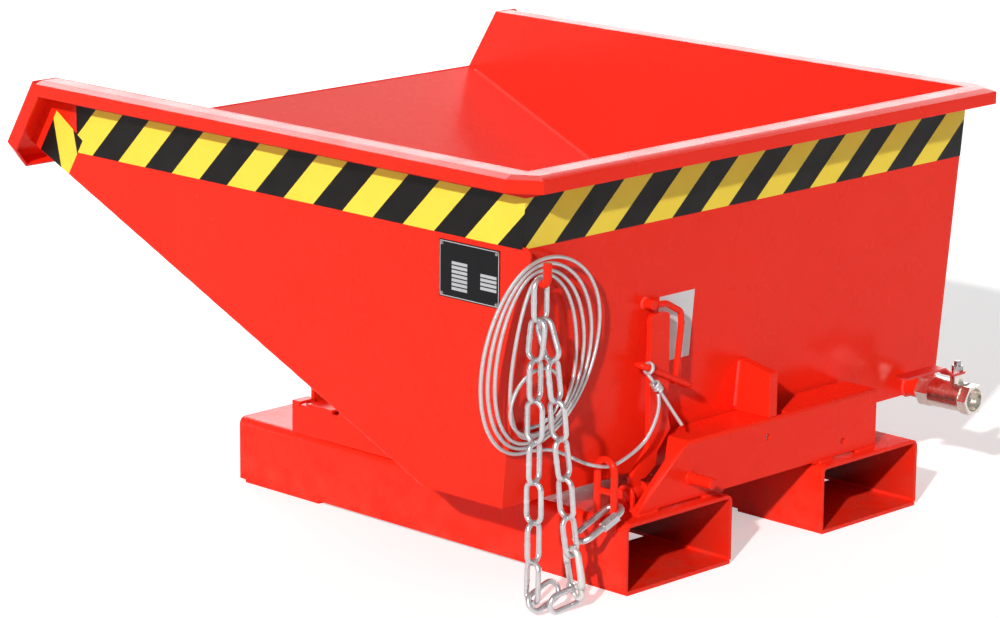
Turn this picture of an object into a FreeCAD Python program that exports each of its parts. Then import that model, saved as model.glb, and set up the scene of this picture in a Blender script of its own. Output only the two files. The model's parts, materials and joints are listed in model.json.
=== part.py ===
import FreeCAD, Part
import math
import os
import re

import Sketcher

# Self dumping hopper: a sheet steel bucket that rolls forward on two toothed rockers, on a base of
# two fork pockets. Millimetres, +Z up, +Y towards the dumping side, +X to the right seen from behind.
# Sizes count Y from the rear ends of the fork pockets; each placement then moves the piece so that
# the origin lies on the floor under the middle of the whole hopper.

OUT_DIR = "parts"

# Driving sizes: name, value, meaning
SIZES = (
    ("overrun", 20, "how far cuts run past what they cut"),
    ("seat_gap", 0.1, "gap between faces that rest on each other across a joint"),
    ("pin_gap", 0.05, "radial running clearance of pins in bores"),
    ("close_gap", 0.3, "gap between loose neighbours"),
    # fork pockets
    ("base_width", 553, "outer width over both fork pockets"),
    ("pocket_width", 191, "outer width of one fork pocket"),
    ("pocket_length", 684, "fork pocket, rear end to front end"),
    ("pocket_height", 88, "floor to the top of the fork pocket"),
    ("pocket_sheet", 5, "sheet of the fork pocket"),
    ("pocket_bend", 10, "outside bend radius of the fork pocket"),
    ("strap_sheet", 5, "floor strap thickness"),
    ("strap_inset", 3, "floor strap edge inside the pocket's side"),
    ("strap_width", 140, "floor strap, along the pocket"),
    ("strap_setback", 8, "front floor strap behind the pocket's front end"),
    # toothed rails
    ("rail_width", 28, "width of the rail channel"),
    ("rail_height", 42, "height of the rail channel"),
    ("rail_sheet", 4, "sheet of the rail channel"),
    ("rail_rear", 250, "rear end of the rail"),
    ("rail_front", 582, "front end of the rail"),
    ("notch_front", 562, "middle of the front notch"),
    ("notch_pitch", 60, "notch to notch along the rail"),
    ("notch_length", 13, "notch opening along the rail"),
    ("notch_depth", 5, "notch depth from the rail's top"),
    ("notch_count", 3, "notches in each rail, and teeth on each rocker"),
    # front crossmember
    ("front_plate_y", 572, "rear face of the front crossmember"),
    ("front_plate_sheet", 5, "sheet of the front crossmember"),
    ("front_plate_rise", 56, "front crossmember above the pockets"),
    ("front_plate_clear", 25, "floor to the crossmember between the pockets"),
    ("front_flange", 12, "top flange of the front crossmember"),
    # rear crossbeam
    ("beam_rear", 15, "rear face of the rear crossbeam's web"),
    ("beam_sheet", 5, "sheet of the rear crossbeam"),
    ("beam_left_inset", 33.5, "left foot of the crossbeam inside the pocket's outer side"),
    ("beam_right_inset", 68.5, "right end of the crossbeam inside the pocket's outer side"),
    ("beam_slope_top_inset", 126.5, "left end of the level top inside the pocket's outer side"),
    ("beam_rise", 76, "crossbeam above the pockets"),
    ("beam_depth", 55, "level flange, rear to front"),
    ("beam_tip_depth", 12, "sloping flange at its foot"),
    ("beam_knee_depth", 16, "sloping flange where the lever passes"),
    ("beam_shoulder_depth", 35, "flange where the level top begins"),
    ("beam_foot_lift", 3, "lower edge of the web above the pockets between its feet"),
    ("beam_foot", 40, "length of a welded foot"),
    ("beam_notch_left", 14, "left side of the flange's drain notch from the middle"),
    ("beam_notch_right", 39, "right side of the flange's drain notch from the middle"),
    ("beam_hole", 9, "plain hole in the crossbeam's web"),
    ("beam_hole_near", 4, "left plain hole from the middle"),
    ("beam_hole_side", 142, "right plain hole from the middle"),
    ("beam_bend", 4, "rounded top edge of the crossbeam"),
    ("beam_knee_inset", 100.5, "knee of the sloping flange inside the pocket's outer side"),
    ("beam_level_inset", 169.5, "full flange begins this far inside the left pocket's outer side"),
    ("beam_taper_right_inset", 162.5, "full flange begins this far inside the right pocket's outer side"),
    ("beam_hole_rise", 20, "right plain hole above the pockets"),
    ("beam_hole_drop", 23, "left plain hole under the crossbeam's top"),
    ("stub_diameter", 14, "stub pin on the crossbeam"),
    ("stub_length", 37, "stub pin, rearwards from the web"),
    ("stub_inset", 129.5, "stub pin inside the pocket's outer side"),
    ("stub_rise", 29.4, "stub pin above the pockets"),
    ("stub_chamfer", 2, "chamfer on the stub pin's end"),
    # guide loop and quick link
    ("loop_wire", 9, "rod of the guide loop"),
    ("loop_pitch", 27, "guide loop, leg to leg"),
    ("loop_rear", 16.5, "rear leg of the guide loop"),
    ("loop_rise", 75.5, "top of the loop's rod middle above the pockets"),
    ("loop_foot", 10, "legs reach this far below the pocket's top"),
    ("loop_bar", 8, "crossbar of the guide loop"),
    ("loop_bar_rise", 36.5, "crossbar above the pockets"),
    ("link_wire", 8, "wire of the quick link"),
    ("link_length", 76, "quick link end to end"),
    ("link_width", 34, "quick link over its wire"),
    ("link_gap", 9, "thread opening of the quick link, under the sleeve"),
    ("link_gap_far", 9, "far end of the opening from the link's middle"),
    ("link_rise", 19.2, "link's end round the loop's leg, above the pockets"),
    ("link_fall", 28.17, "slope of the hanging quick link from level"),
    ("link_swing", 11.1, "turn of the hanging quick link in plan"),
    ("sleeve_flats", 12, "sleeve across its flats"),
    ("sleeve_length", 22, "sleeve of the quick link"),
    ("sleeve_middle", 8, "middle of the closed sleeve from the link's middle"),
    # lock lever
    ("lever_width", 34, "flat bar of the lock lever"),
    ("lever_sheet", 6, "thickness of the lock lever"),
    ("lever_rear", 44, "rear face of the lock lever"),
    ("lever_inset", 102.5, "middle of the upright bar inside the pocket's outer side"),
    ("lever_top", 321, "floor to the top of the lock lever"),
    ("lever_bend", 160, "floor to where the bar turns aside"),
    ("lever_foot_inset", 63, "middle of the lever's foot inside the pocket's outer side"),
    ("lever_foot_width", 17, "lever's foot between the bracket's ears"),
    ("lever_foot_tube", 18, "tube across the lever's foot"),
    ("lever_corner", 8, "rounded top corners of the lock lever"),
    ("pivot_rise", 17, "lever pivot above the pockets"),
    ("pivot_diameter", 10, "lever pivot bolt"),
    ("pivot_head", 17, "pivot bolt's head across its flats"),
    ("pivot_head_height", 6, "head of the pivot bolt"),
    ("ear_sheet", 5, "ear of the lever bracket"),
    ("ear_gap", 2, "ear to the side of the lever's foot"),
    ("ear_width", 26, "ear, rear to front"),
    ("bracket_floor", 4, "strip between the bracket's ears"),
    ("handle_wire", 8, "rod of the latch handle"),
    ("handle_top", 332, "floor to the top run of the latch handle"),
    ("ring_z", 234, "floor to the handle's weld on its ring"),
    ("handle_bend", 9, "bends of the latch handle"),
    ("keeper_diameter", 12, "keeper pin on the bucket"),
    ("keeper_inset", 90.5, "keeper pin inside the line of the pocket's outer side"),
    ("keeper_rise", 333, "floor to the middle of the keeper pin"),
    ("keeper_end", 43, "rear end of the keeper pin"),
    # rockers and their shaft
    ("rocker_radius", 80, "rolling radius of the rockers"),
    ("shaft_y", 460, "cross shaft at rest, along the base"),
    ("shaft_diameter", 16, "cross shaft between the rockers"),
    ("shaft_overhang", 7, "shaft beyond each rocker"),
    ("shaft_chamfer", 1.5, "chamfer on the shaft's ends"),
    ("collar_diameter", 28, "collar at the shaft's end"),
    ("collar_width", 5, "collar at the shaft's end, along the shaft"),
    ("rocker_sheet", 10, "rocker plate"),
    ("rocker_rear", 75, "rear end of the rocker plate behind the shaft"),
    ("rocker_front", 110, "front end of the rocker plate before the shaft"),
    ("tread_rear", 20, "rear end of the tread, degrees behind straight down"),
    ("tread_front", 80, "front end of the tread, degrees before straight down"),
    ("tread_width", 20, "tread of the rocker across"),
    ("tread_sheet", 6, "tread of the rocker, radially"),
    ("tooth_height", 8, "tooth beyond the tread"),
    ("tooth_root", 8, "tooth at its root"),
    ("tooth_tip", 5, "tooth at its tip"),
    ("tooth_width", 18, "tooth across the rail"),
    # bucket shell
    ("bucket_width", 815, "outer width over the side walls"),
    ("shell_sheet", 3, "sheet of the bucket"),
    ("bucket_top", 525, "floor to the bucket's top edge"),
    ("bucket_bottom", 119, "floor to the bucket's flat bottom"),
    ("rear_top_y", 41, "rear wall's outer face at the top"),
    ("rear_bottom_y", 78, "rear wall's outer face at the bottom"),
    ("flat_front_y", 208, "front end of the flat bottom"),
    ("chute_angle", 23.37, "slope of the chute from level"),
    ("mouth_top_y", 888.3, "mouth frame's front face at the top"),
    ("mouth_angle", 32.06, "mouth frame from upright"),
    ("fin_drop", 89, "top of the corner fins below the bucket's top edge"),
    ("fin_depth", 15, "corner fin behind the rear wall, at its top"),
    ("fin_foot", 183, "floor to where the corner fins end"),
    ("fin_corner", 10, "rounded top of the corner fins"),
    # rim and mouth frame
    ("rim_out", 37, "rim beyond the walls"),
    ("rim_flat", 23, "level part of the rim"),
    ("rim_fall", 3.5, "fall of the rim's outer part"),
    ("rim_lip", 16, "downturned lip of the rim"),
    ("rim_chamfer_side", 24, "rear corner chamfer across"),
    ("rim_chamfer_length", 37, "rear corner chamfer along"),
    ("mouth_sill", 30, "mouth frame below the chute, down the mouth"),
    ("mouth_lip", 19, "lip turned back round the mouth frame"),
    ("mouth_chamfer_side", 30, "lower corner chamfer across"),
    ("mouth_chamfer_rise", 31.4, "lower corner chamfer up the mouth"),
    # stop lug
    ("lug_width", 14, "stop lug plate"),
    ("lug_side", 7, "middle of the stop lug from the hopper's middle"),
    ("lug_rear", 17, "rear end of the stop lug"),
    ("lug_rise", 56, "rear height of the stop lug"),
    ("lug_slope", 10, "stop lug's extra height at the wall"),
    # cable hook
    ("hook_wire", 10, "rod of the cable hook"),
    ("hook_inset", 13.5, "hook's root inside the side wall's outer face"),
    ("hook_tip_inset", 6.5, "hook's tip inside the side wall's outer face"),
    ("hook_drop", 129, "middle of the hook's rod below the bucket's top edge"),
    ("hook_tip_y", 15, "hook's upturned tip"),
    ("hook_tip_rise", 26, "top of the hook's tip above the middle of its rod"),
    ("hook_bend", 9, "bend of the hook's rod"),
    # tapes and plates
    ("tape_width", 61, "striped tape"),
    ("tape_drop", 31, "tape's upper edge below the bucket's top edge"),
    ("tape_sheet", 0.4, "striped tape thickness"),
    ("tape_end_gap", 42.3, "side tape ends this far behind the mouth's top"),
    ("tape_mouth_gap", 25, "slanting tape behind the mouth's front face"),
    ("tape_mouth_top", 35, "slanting tape below the top edge, down the mouth"),
    ("plate_sheet", 0.8, "data plate"),
    ("plate_length", 99, "data plate along the side"),
    ("plate_height", 68.5, "data plate, low edge to top edge"),
    ("plate_rear", 84, "rear edge of the data plate"),
    ("plate_drop", 99, "data plate's top edge below the bucket's top edge"),
    ("rivet_diameter", 5, "rivet of the data plate"),
    ("rivet_height", 1.6, "rivet head"),
    ("rivet_inset", 4.5, "rivet from the plate's edges"),
    ("label_width", 63, "paper label across"),
    ("label_height", 84, "paper label, up the wall"),
    ("label_side", 128.5, "middle of the paper label from the middle"),
    ("label_drop", 189, "paper label's top edge below the bucket's top edge"),
    ("label_sheet", 0.2, "paper label"),
    # drain valve
    ("drain_inset", 54.5, "drain inside the side wall's outer face"),
    ("drain_rise", 131, "floor to the middle of the drain"),
    ("drain_bore", 18, "bore of the drain"),
    ("drain_pipe", 27, "outer diameter of the drain pipe"),
    ("valve_front", 52, "front end of the valve body"),
    ("valve_rear", -30, "rear end of the valve"),
    ("valve_hex", 36, "valve ends across their flats"),
    ("valve_hex_front", 20, "front hexagon of the valve body"),
    ("valve_hex_rear", 13, "hexagon of the outlet end"),
    ("valve_barrel", 40, "outer diameter of the valve's barrel"),
    ("stem_y", -1, "valve stem along the hopper"),
    ("ball_diameter", 30, "ball of the valve"),
    ("seat_sheet", 3.9, "seat ring of the valve"),
    ("outlet_bore", 30.2, "threaded bore of the outlet"),
    ("outlet_depth", 11, "depth of the threaded bore"),
    ("boss_diameter", 18, "stem boss of the valve"),
    ("boss_rise", 31, "stem boss above the valve's middle"),
    ("stem_diameter", 9, "valve stem"),
    ("stem_top", 47, "top of the stem above the valve's middle"),
    ("nut_flats", 13, "stem nut across its flats"),
    ("nut_height", 7, "stem nut"),
    ("hub_radius", 10, "end of the valve lever beyond the stem"),
    ("crank_near", 20, "crank of the valve lever begins, from the stem"),
    ("crank_far", 38, "crank of the valve lever ends, from the stem"),
    ("valve_lever_length", 122, "valve lever from the stem"),
    ("valve_lever_width", 20, "valve lever across"),
    ("valve_lever_sheet", 3, "valve lever sheet"),
    ("valve_lever_rise", 12, "crank in the valve lever"),
    # chain, snap hook and cable
    ("chain_wire", 7, "wire of the chain"),
    ("chain_pitch", 49, "inner length of a chain link"),
    ("chain_width", 28, "outer width of a chain link"),
    ("snap_wire", 8, "wire of the snap hook"),
    ("snap_length", 69, "snap hook end to end"),
    ("snap_width", 28, "snap hook over its wire"),
    ("snap_gate_low", 14, "gate hinge below the snap hook's middle"),
    ("snap_gate_high", 12, "gate tip above the snap hook's middle"),
    ("snap_pin", 3, "gate pin"),
    ("snap_slot_width", 4.4, "slot of the snap hook for its gate"),
    ("snap_slot_depth", 9, "slot, end to end along the arm"),
    ("snap_gate_sheet", 4, "gate, through the slot"),
    ("snap_gate_width", 6, "gate, across its pin"),
    ("cable_wire", 4.5, "wire rope"),
    ("coil_size", 200, "unit of the coil's turns"),
    ("coil_y", 34.8, "coil along the hopper, level with the hook's rod"),
    ("coil_lean", 8.53, "lean of the coil from upright"),
    ("coil_entry", 40, "straight rope before the first turn"),
    ("knot_diameter", 14, "knot at the lever"),
    ("knot_inset", 90, "knot inside the line of the pocket's outer side"),
    ("knot_rise", 234.5, "floor to the knot"),
    ("eye_setback", 9, "rope eye from the end of the handle's ring"),
    ("tail_length", 66, "loose end of the rope from the knot"),
    ("ferrule_diameter", 6, "ferrule on the rope's end"),
    ("ferrule_length", 14, "ferrule on the rope's end, along the rope"),
)

# Places worked out from the driving sizes: name, formula, meaning
PLACES = (
    ("half_base", "base_width / 2", "outer side of the pockets"),
    ("half_bucket", "bucket_width / 2", "outer face of the side walls"),
    ("beam_left", "half_base - beam_left_inset", "left foot of the crossbeam from the middle"),
    ("beam_right", "half_base - beam_right_inset", "right end of the crossbeam from the middle"),
    ("beam_slope_top", "half_base - beam_slope_top_inset", "left end of the level top from the middle"),
    ("beam_knee_side", "half_base - beam_knee_inset", "knee of the sloping flange from the middle"),
    ("beam_level_side", "half_base - beam_level_inset", "full flange begins here on the left"),
    ("beam_taper_right", "half_base - beam_taper_right_inset", "full flange begins here on the right"),
    ("stub_side", "half_base - stub_inset", "stub pin from the middle"),
    ("lever_side", "half_base - lever_inset", "middle of the upright bar from the hopper's middle"),
    ("lever_foot_side", "half_base - lever_foot_inset", "middle of the lever's foot from the hopper's middle"),
    ("keeper_side", "half_base - keeper_inset", "keeper pin from the middle"),
    ("knot_side", "half_base - knot_inset", "knot from the middle"),
    ("hook_side", "half_bucket - hook_inset", "hook's root from the middle"),
    ("hook_tip_side", "half_bucket - hook_tip_inset", "hook's tip from the middle"),
    ("drain_side", "half_bucket - drain_inset", "drain from the middle"),
    ("fin_top", "bucket_top - fin_drop", "floor to the top of the corner fins"),
    ("tape_top", "bucket_top - tape_drop", "floor to the tape's upper edge"),
    ("hook_rise", "bucket_top - hook_drop", "floor to the middle of the hook's rod"),
    ("hook_tip_top", "hook_rise + hook_tip_rise", "floor to the top of the hook's tip"),
    ("plate_bottom", "bucket_top - plate_drop - plate_height", "floor to the data plate's low edge"),
    ("label_bottom", "bucket_top - label_drop - label_height", "floor to the paper label's low edge"),
    ("tape_end", "mouth_top_y - tape_end_gap", "side tape ends here along the bucket"),
    ("rail_top", "pocket_height + rail_height", "top of the rails"),
    ("beam_top", "pocket_height + beam_rise", "top of the crossbeam"),
    ("beam_front", "beam_rear + beam_depth", "front edge of the level flange"),
    ("shaft_z", "rail_top + rocker_radius", "cross shaft above the floor"),
    ("rocker_side", "half_base - rail_width / 2", "middle of a rocker"),
    ("shaft_half", "rocker_side + rocker_sheet / 2 + shaft_overhang", "half the cross shaft"),
    ("beam_run", "(beam_left - beam_slope_top) / beam_rise", "sloping flange, run per rise"),
    ("beam_skew", "beam_sheet * sqrt(1 + beam_run ^ 2)", "sloping flange's thickness, measured level"),
    ("wall_lean", "(rear_bottom_y - rear_top_y) / (bucket_top - bucket_bottom)", "rear wall, run per rise"),
    ("chute_rise", "tan(chute_angle)", "chute, rise per run"),
    ("chute_over_shaft", "bucket_bottom + chute_rise * (shaft_y - flat_front_y) - shaft_z",
     "chute's underside above the cross shaft"),
    ("wall_skew", "shell_sheet * sqrt(1 + wall_lean ^ 2)", "rear wall's thickness, measured level"),
    ("mouth_run", "tan(mouth_angle)", "mouth, run per rise"),
    ("mouth_low_z",
     "(bucket_bottom + chute_rise * (mouth_top_y + mouth_run * bucket_top - flat_front_y))"
     " / (1 + chute_rise * mouth_run)", "chute's underside at the mouth's front face"),
    ("mouth_low_y", "mouth_top_y + mouth_run * (bucket_top - mouth_low_z)", "the same place along Y"),
    ("mouth_inner", "(bucket_top - mouth_low_z) / cos(mouth_angle)", "mouth, top edge to chute"),
    ("mouth_back_y", "mouth_top_y - shell_sheet / cos(mouth_angle)", "mouth flange's rear face at the top"),
    ("back_low_z",
     "(bucket_bottom + chute_rise * (mouth_back_y + mouth_run * bucket_top - flat_front_y))"
     " / (1 + chute_rise * mouth_run)", "chute's underside at the mouth flange's rear face"),
    ("back_low_y", "mouth_back_y + mouth_run * (bucket_top - back_low_z)", "the same place along Y"),
    ("chute_lift", "shell_sheet / cos(chute_angle) / (1 + chute_rise * mouth_run)",
     "chute's inner face above its underside, along the mouth"),
    ("mouth_length", "mouth_inner + mouth_sill", "mouth frame from the top edge down the mouth"),
    ("mouth_floor", "mouth_inner - shell_sheet / cos(mouth_angle - chute_angle)", "mouth, top edge to chute's inner face"),
    ("lip_back_y", "mouth_top_y - mouth_lip / cos(mouth_angle)", "mouth lip's rear edge at the top"),
    ("front_reach", "mouth_top_y + mouth_length * sin(mouth_angle)", "foremost edge of the hopper"),
    ("middle", "(front_reach + valve_rear) / 2", "middle of the whole hopper along Y"),
    ("tooth_step", "notch_pitch / rocker_radius * 180 / pi", "angle from tooth to tooth"),
    ("first_tooth", "(notch_front - (notch_count - 1) * notch_pitch - shaft_y) / rocker_radius * 180 / pi",
     "angle of the rear tooth from straight down"),
    ("pivot_z", "pocket_height + pivot_rise", "lever pivot above the floor"),
    ("lever_offset", "lever_foot_side - lever_side", "aside from the lever's bar to its foot"),
    ("lever_climb", "lever_bend - pivot_z", "up from the pivot to the lever's bend"),
    ("valve_joint", "valve_rear + valve_hex_rear", "front face of the valve's outlet end"),
    ("ball_seat", "sqrt((ball_diameter / 2) ^ 2 - (drain_bore / 2) ^ 2)", "seat's edge from the ball's middle"),
    ("lever_mid_y", "lever_rear + lever_sheet / 2", "middle of the lever's thickness"),
    ("tape_bottom", "tape_top - tape_width", "low edge of the tape"),
)

SIZE_NAMES = {row[0] for row in SIZES}
PLACE_NAMES = {row[0] for row in PLACES}

doc = FreeCAD.newDocument("SelfDumpingHopper")


def fill_sheet(name, rows, is_formula):
    """A sheet with one named cell in each row."""
    sheet = doc.addObject("Spreadsheet::Sheet", name)
    for row, (alias, content, meaning) in enumerate(rows, start=1):
        sheet.set(f"A{row}", meaning)
        sheet.set(f"B{row}", f"={linked_inside(content)}" if is_formula else str(content))
        sheet.setAlias(f"B{row}", alias)
    doc.recompute()
    return sheet


def linked(formula):
    """The formula with each named value pointed at the sheet that holds it."""
    def point(match):
        word = match.group(0)
        if word in SIZE_NAMES:
            return f"Sizes.{word}"
        if word in PLACE_NAMES:
            return f"Places.{word}"
        return word
    return re.sub(r"[a-z_]+", point, formula)


def linked_inside(formula):
    """As linked, for cells of the second sheet, which name each other bare."""
    return linked(formula).replace("Places.", "")


sizes = fill_sheet("Sizes", SIZES, False)
fill_sheet("Places", PLACES, True)


def value(formula):
    """The number that a formula of named sizes gives now."""
    return float(sizes.evalExpression(linked(formula)))


def bind(thing, path, formula):
    thing.setExpression(path, linked(formula))


def place(thing, x="0", y="0", z="0", axis=(0, 0, 1), angle=0):
    """Turns a piece and moves it, so that the origin lies under the middle of the hopper."""
    thing.Placement = FreeCAD.Placement(FreeCAD.Vector(), FreeCAD.Rotation(FreeCAD.Vector(*axis), angle))
    bind(thing, "Placement.Base.x", x)
    bind(thing, "Placement.Base.y", f"{y} - middle")
    bind(thing, "Placement.Base.z", z)


def named(kind, name):
    thing = doc.addObject(kind, name)
    thing.Label = name
    return thing


def arc_between(start, stop, radius, turn):
    """An arc of less than half a circle; turn is 1 when it runs anticlockwise."""
    chord = stop - start
    rise = math.sqrt(max(radius ** 2 - (chord.Length / 2) ** 2, 0))
    left = FreeCAD.Vector(-chord.y, chord.x, 0).normalize()
    centre = (start + stop) * 0.5 + left * rise * turn
    first, last = (start, stop) if turn > 0 else (stop, start)
    angles = [math.atan2(point.y - centre.y, point.x - centre.x) for point in (first, last)]
    if angles[1] < angles[0]:
        angles[1] += 2 * math.pi
    return Part.ArcOfCircle(Part.Circle(centre, FreeCAD.Vector(0, 0, 1), radius), *angles)


def draw_outline(sketch, outline):
    """A closed outline; a corner may add the radius and the turn of the arc that leaves it."""
    spots = [FreeCAD.Vector(value(corner[0]), value(corner[1]), 0) for corner in outline]
    first = sketch.GeometryCount
    ends = []
    for index, corner in enumerate(outline):
        start, stop = spots[index], spots[(index + 1) % len(outline)]
        if len(corner) == 2:
            sketch.addGeometry(Part.LineSegment(start, stop), False)
            ends.append((1, 2))
            continue
        arc = sketch.addGeometry(arc_between(start, stop, value(corner[2]), corner[3]), False)
        ends.append((1, 2) if corner[3] > 0 else (2, 1))
        rule = sketch.addConstraint(Sketcher.Constraint("Radius", arc, value(corner[2])))
        bind(sketch, f"Constraints[{rule}]", corner[2])
    for index in range(len(outline)):
        after = (index + 1) % len(outline)
        sketch.addConstraint(Sketcher.Constraint(
            "Coincident", first + index, ends[index][1], first + after, ends[after][0]))
    for index, corner in enumerate(outline):
        for direction, formula in zip(("DistanceX", "DistanceY"), corner):
            rule = sketch.addConstraint(Sketcher.Constraint(
                direction, -1, 1, first + index, ends[index][0], value(formula)))
            bind(sketch, f"Constraints[{rule}]", formula)


def draw_circle(sketch, across, up, radius):
    centre = FreeCAD.Vector(value(across), value(up), 0)
    circle = sketch.addGeometry(Part.Circle(centre, FreeCAD.Vector(0, 0, 1), value(radius)), False)
    for rule, formula in (
        (Sketcher.Constraint("DistanceX", -1, 1, circle, 3, value(across)), across),
        (Sketcher.Constraint("DistanceY", -1, 1, circle, 3, value(up)), up),
        (Sketcher.Constraint("Radius", circle, value(radius)), radius),
    ):
        bind(sketch, f"Constraints[{sketch.addConstraint(rule)}]", formula)


def sketch_on(body, plane, offset, outlines, circles=()):
    """A sketch on a plane of the body's own origin, moved along the world axis that it faces."""
    sketch = body.newObject("Sketcher::SketchObject", f"{body.Name}_sketch")
    support = next(feature for feature in body.Origin.OriginFeatures if feature.Role == plane)
    sketch.AttachmentSupport = [(support, "")]
    sketch.MapMode = "FlatFace"
    sign = "-" if plane == "XZ_Plane" else ""
    bind(sketch, "AttachmentOffset.Base.z", f"{sign}({offset})")
    for outline in outlines:
        draw_outline(sketch, outline)
    for circle in circles:
        draw_circle(sketch, *circle)
    return sketch


def pad(body, plane, low, high, outlines, circles=()):
    """Adds a slab between two places on the world axis that the plane faces."""
    sketch = sketch_on(body, plane, low, outlines, circles)
    feature = body.newObject("PartDesign::Pad", f"{body.Name}_pad")
    feature.Profile = sketch
    feature.Reversed = plane == "XZ_Plane"
    bind(feature, "Length", f"({high}) - ({low})")
    return feature


def cut(body, plane, low, high, outlines, circles=()):
    """Removes a slab between two places on the world axis that the plane faces."""
    sketch = sketch_on(body, plane, low, outlines, circles)
    feature = body.newObject("PartDesign::Pocket", f"{body.Name}_cut")
    feature.Profile = sketch
    feature.Reversed = plane != "XZ_Plane"
    bind(feature, "Length", f"({high}) - ({low})")
    return feature


def turned(body, outline):
    """A turned piece: an outline of (radius, height) round the body's own Z axis."""
    sketch = sketch_on(body, "XZ_Plane", "0", [outline])
    feature = body.newObject("PartDesign::Revolution", f"{body.Name}_turned")
    feature.Profile = sketch
    feature.ReferenceAxis = (sketch, ["V_Axis"])
    feature.Angle = 360
    return feature


def round_edges(body, radius, chosen):
    """Rounds the edges that the chosen test picks from the body as it stands."""
    doc.recompute()
    tip = body.Tip
    edges = [f"Edge{number}" for number, edge in enumerate(tip.Shape.Edges, start=1) if chosen(edge)]
    feature = body.newObject("PartDesign::Fillet", f"{body.Name}_round")
    feature.Base = (tip, edges)
    bind(feature, "Radius", radius)
    return feature


def runs_at(edge, axis, **places):
    """Whether an edge runs along an axis at the given places on the others."""
    middle = edge.BoundBox.Center
    straight = abs(getattr(edge.tangentAt(edge.FirstParameter), axis)) > 0.999
    near = all(abs(getattr(middle, name) - value(formula)) < 0.01 for name, formula in places.items())
    return straight and near


def rectangle(left, right, low, high):
    return [(left, low), (right, low), (right, high), (left, high)]


def hexagon(across, up, flats):
    """Six corners round a point, with flats facing up and down."""
    corner = f"({flats}) / sqrt(3)"
    return [(f"{across} + {corner} * cos({60 * step})", f"{up} + {corner} * sin({60 * step})")
            for step in range(6)]


def mirrored(name, source):
    """The same piece on the right-hand side."""
    twin = named("Part::Mirroring", name)
    twin.Source = source
    twin.Normal = FreeCAD.Vector(1, 0, 0)
    return twin


def wall_y(height):
    """The rear wall's outer face at a height above the floor."""
    return f"(rear_top_y + wall_lean * (bucket_top - ({height})))"


INSIDE_WALL = [
    ("rear_top_y - wall_lean * overrun", "bucket_top + overrun"),
    ("rear_bottom_y + wall_lean * overrun", "bucket_bottom - overrun"),
    ("rear_bottom_y + 3 * overrun", "bucket_bottom - overrun"),
    ("rear_bottom_y + 3 * overrun", "bucket_top + overrun"),
]


# Base

def make_fork_pocket():
    body = named("PartDesign::Body", "fork_pocket_left")
    left, right = "-half_base", "-half_base + pocket_width"
    pad(body, "XZ_Plane", "0", "pocket_length", [[
        (left, "strap_sheet"), (left, "pocket_height"), (right, "pocket_height"), (right, "strap_sheet"),
        (f"{right} - pocket_sheet", "strap_sheet"), (f"{right} - pocket_sheet", "pocket_height - pocket_sheet"),
        (f"{left} + pocket_sheet", "pocket_height - pocket_sheet"), (f"{left} + pocket_sheet", "strap_sheet"),
    ]])
    round_edges(body, "pocket_bend", lambda edge: any(
        runs_at(edge, "y", x=side, z="pocket_height") for side in (left, right)))
    round_edges(body, "pocket_bend - pocket_sheet", lambda edge: any(
        runs_at(edge, "y", x=side, z="pocket_height - pocket_sheet")
        for side in (f"{left} + pocket_sheet", f"{right} - pocket_sheet")))
    place(body)
    return body


def make_floor_straps():
    group = named("Part::Compound", "floor_straps")
    straps = []
    for side, left in (("left", "-half_base"), ("right", "half_base - pocket_width")):
        for end, rear in (("rear", "0"), ("front", "pocket_length - strap_setback - strap_width")):
            strap = doc.addObject("Part::Box", f"strap_{end}_{side}")
            bind(strap, "Length", "pocket_width - 2 * strap_inset")
            bind(strap, "Width", "strap_width")
            bind(strap, "Height", "strap_sheet")
            place(strap, f"{left} + strap_inset", rear)
            straps.append(strap)
    group.Links = straps
    return group


def make_rail():
    body = named("PartDesign::Body", "rail_left")
    left, right = "-half_base", "-half_base + rail_width"
    pad(body, "XZ_Plane", "rail_rear", "rail_front", [[
        (left, "pocket_height"), (left, "rail_top"), (right, "rail_top"), (right, "pocket_height"),
        (f"{right} - rail_sheet", "pocket_height"), (f"{right} - rail_sheet", "rail_top - rail_sheet"),
        (f"{left} + rail_sheet", "rail_top - rail_sheet"), (f"{left} + rail_sheet", "pocket_height"),
    ]])
    notch = cut(body, "YZ_Plane", f"{left} - overrun", f"{right} + overrun", [rectangle(
        "notch_front - notch_length / 2", "notch_front + notch_length / 2",
        "rail_top - notch_depth", "rail_top + overrun")])
    pattern = body.newObject("PartDesign::LinearPattern", "rail_notches")
    pattern.Originals = [notch]
    axis = next(feature for feature in body.Origin.OriginFeatures if feature.Role == "Y_Axis")
    pattern.Direction = (axis, [""])
    pattern.Reversed = True
    bind(pattern, "Length", "(notch_count - 1) * notch_pitch")
    bind(pattern, "Occurrences", "notch_count")
    body.Tip = pattern
    place(body)
    return body


def make_front_crossmember():
    body = named("PartDesign::Body", "front_crossmember")
    wide, gap = "half_base - rail_width", "half_base - pocket_width"
    top = "pocket_height + front_plate_rise"
    pad(body, "XZ_Plane", "front_plate_y", "front_plate_y + front_plate_sheet", [[
        (f"-({wide})", "pocket_height"), (f"-({gap})", "pocket_height"), (f"-({gap})", "front_plate_clear"),
        (gap, "front_plate_clear"), (gap, "pocket_height"), (wide, "pocket_height"), (wide, top),
        (f"-({wide})", top),
    ]])
    pad(body, "XY_Plane", f"{top} - front_plate_sheet", top, [rectangle(
        f"-({wide})", wide, "front_plate_y - front_flange", "front_plate_y + front_plate_sheet")])
    place(body)
    return body


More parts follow.
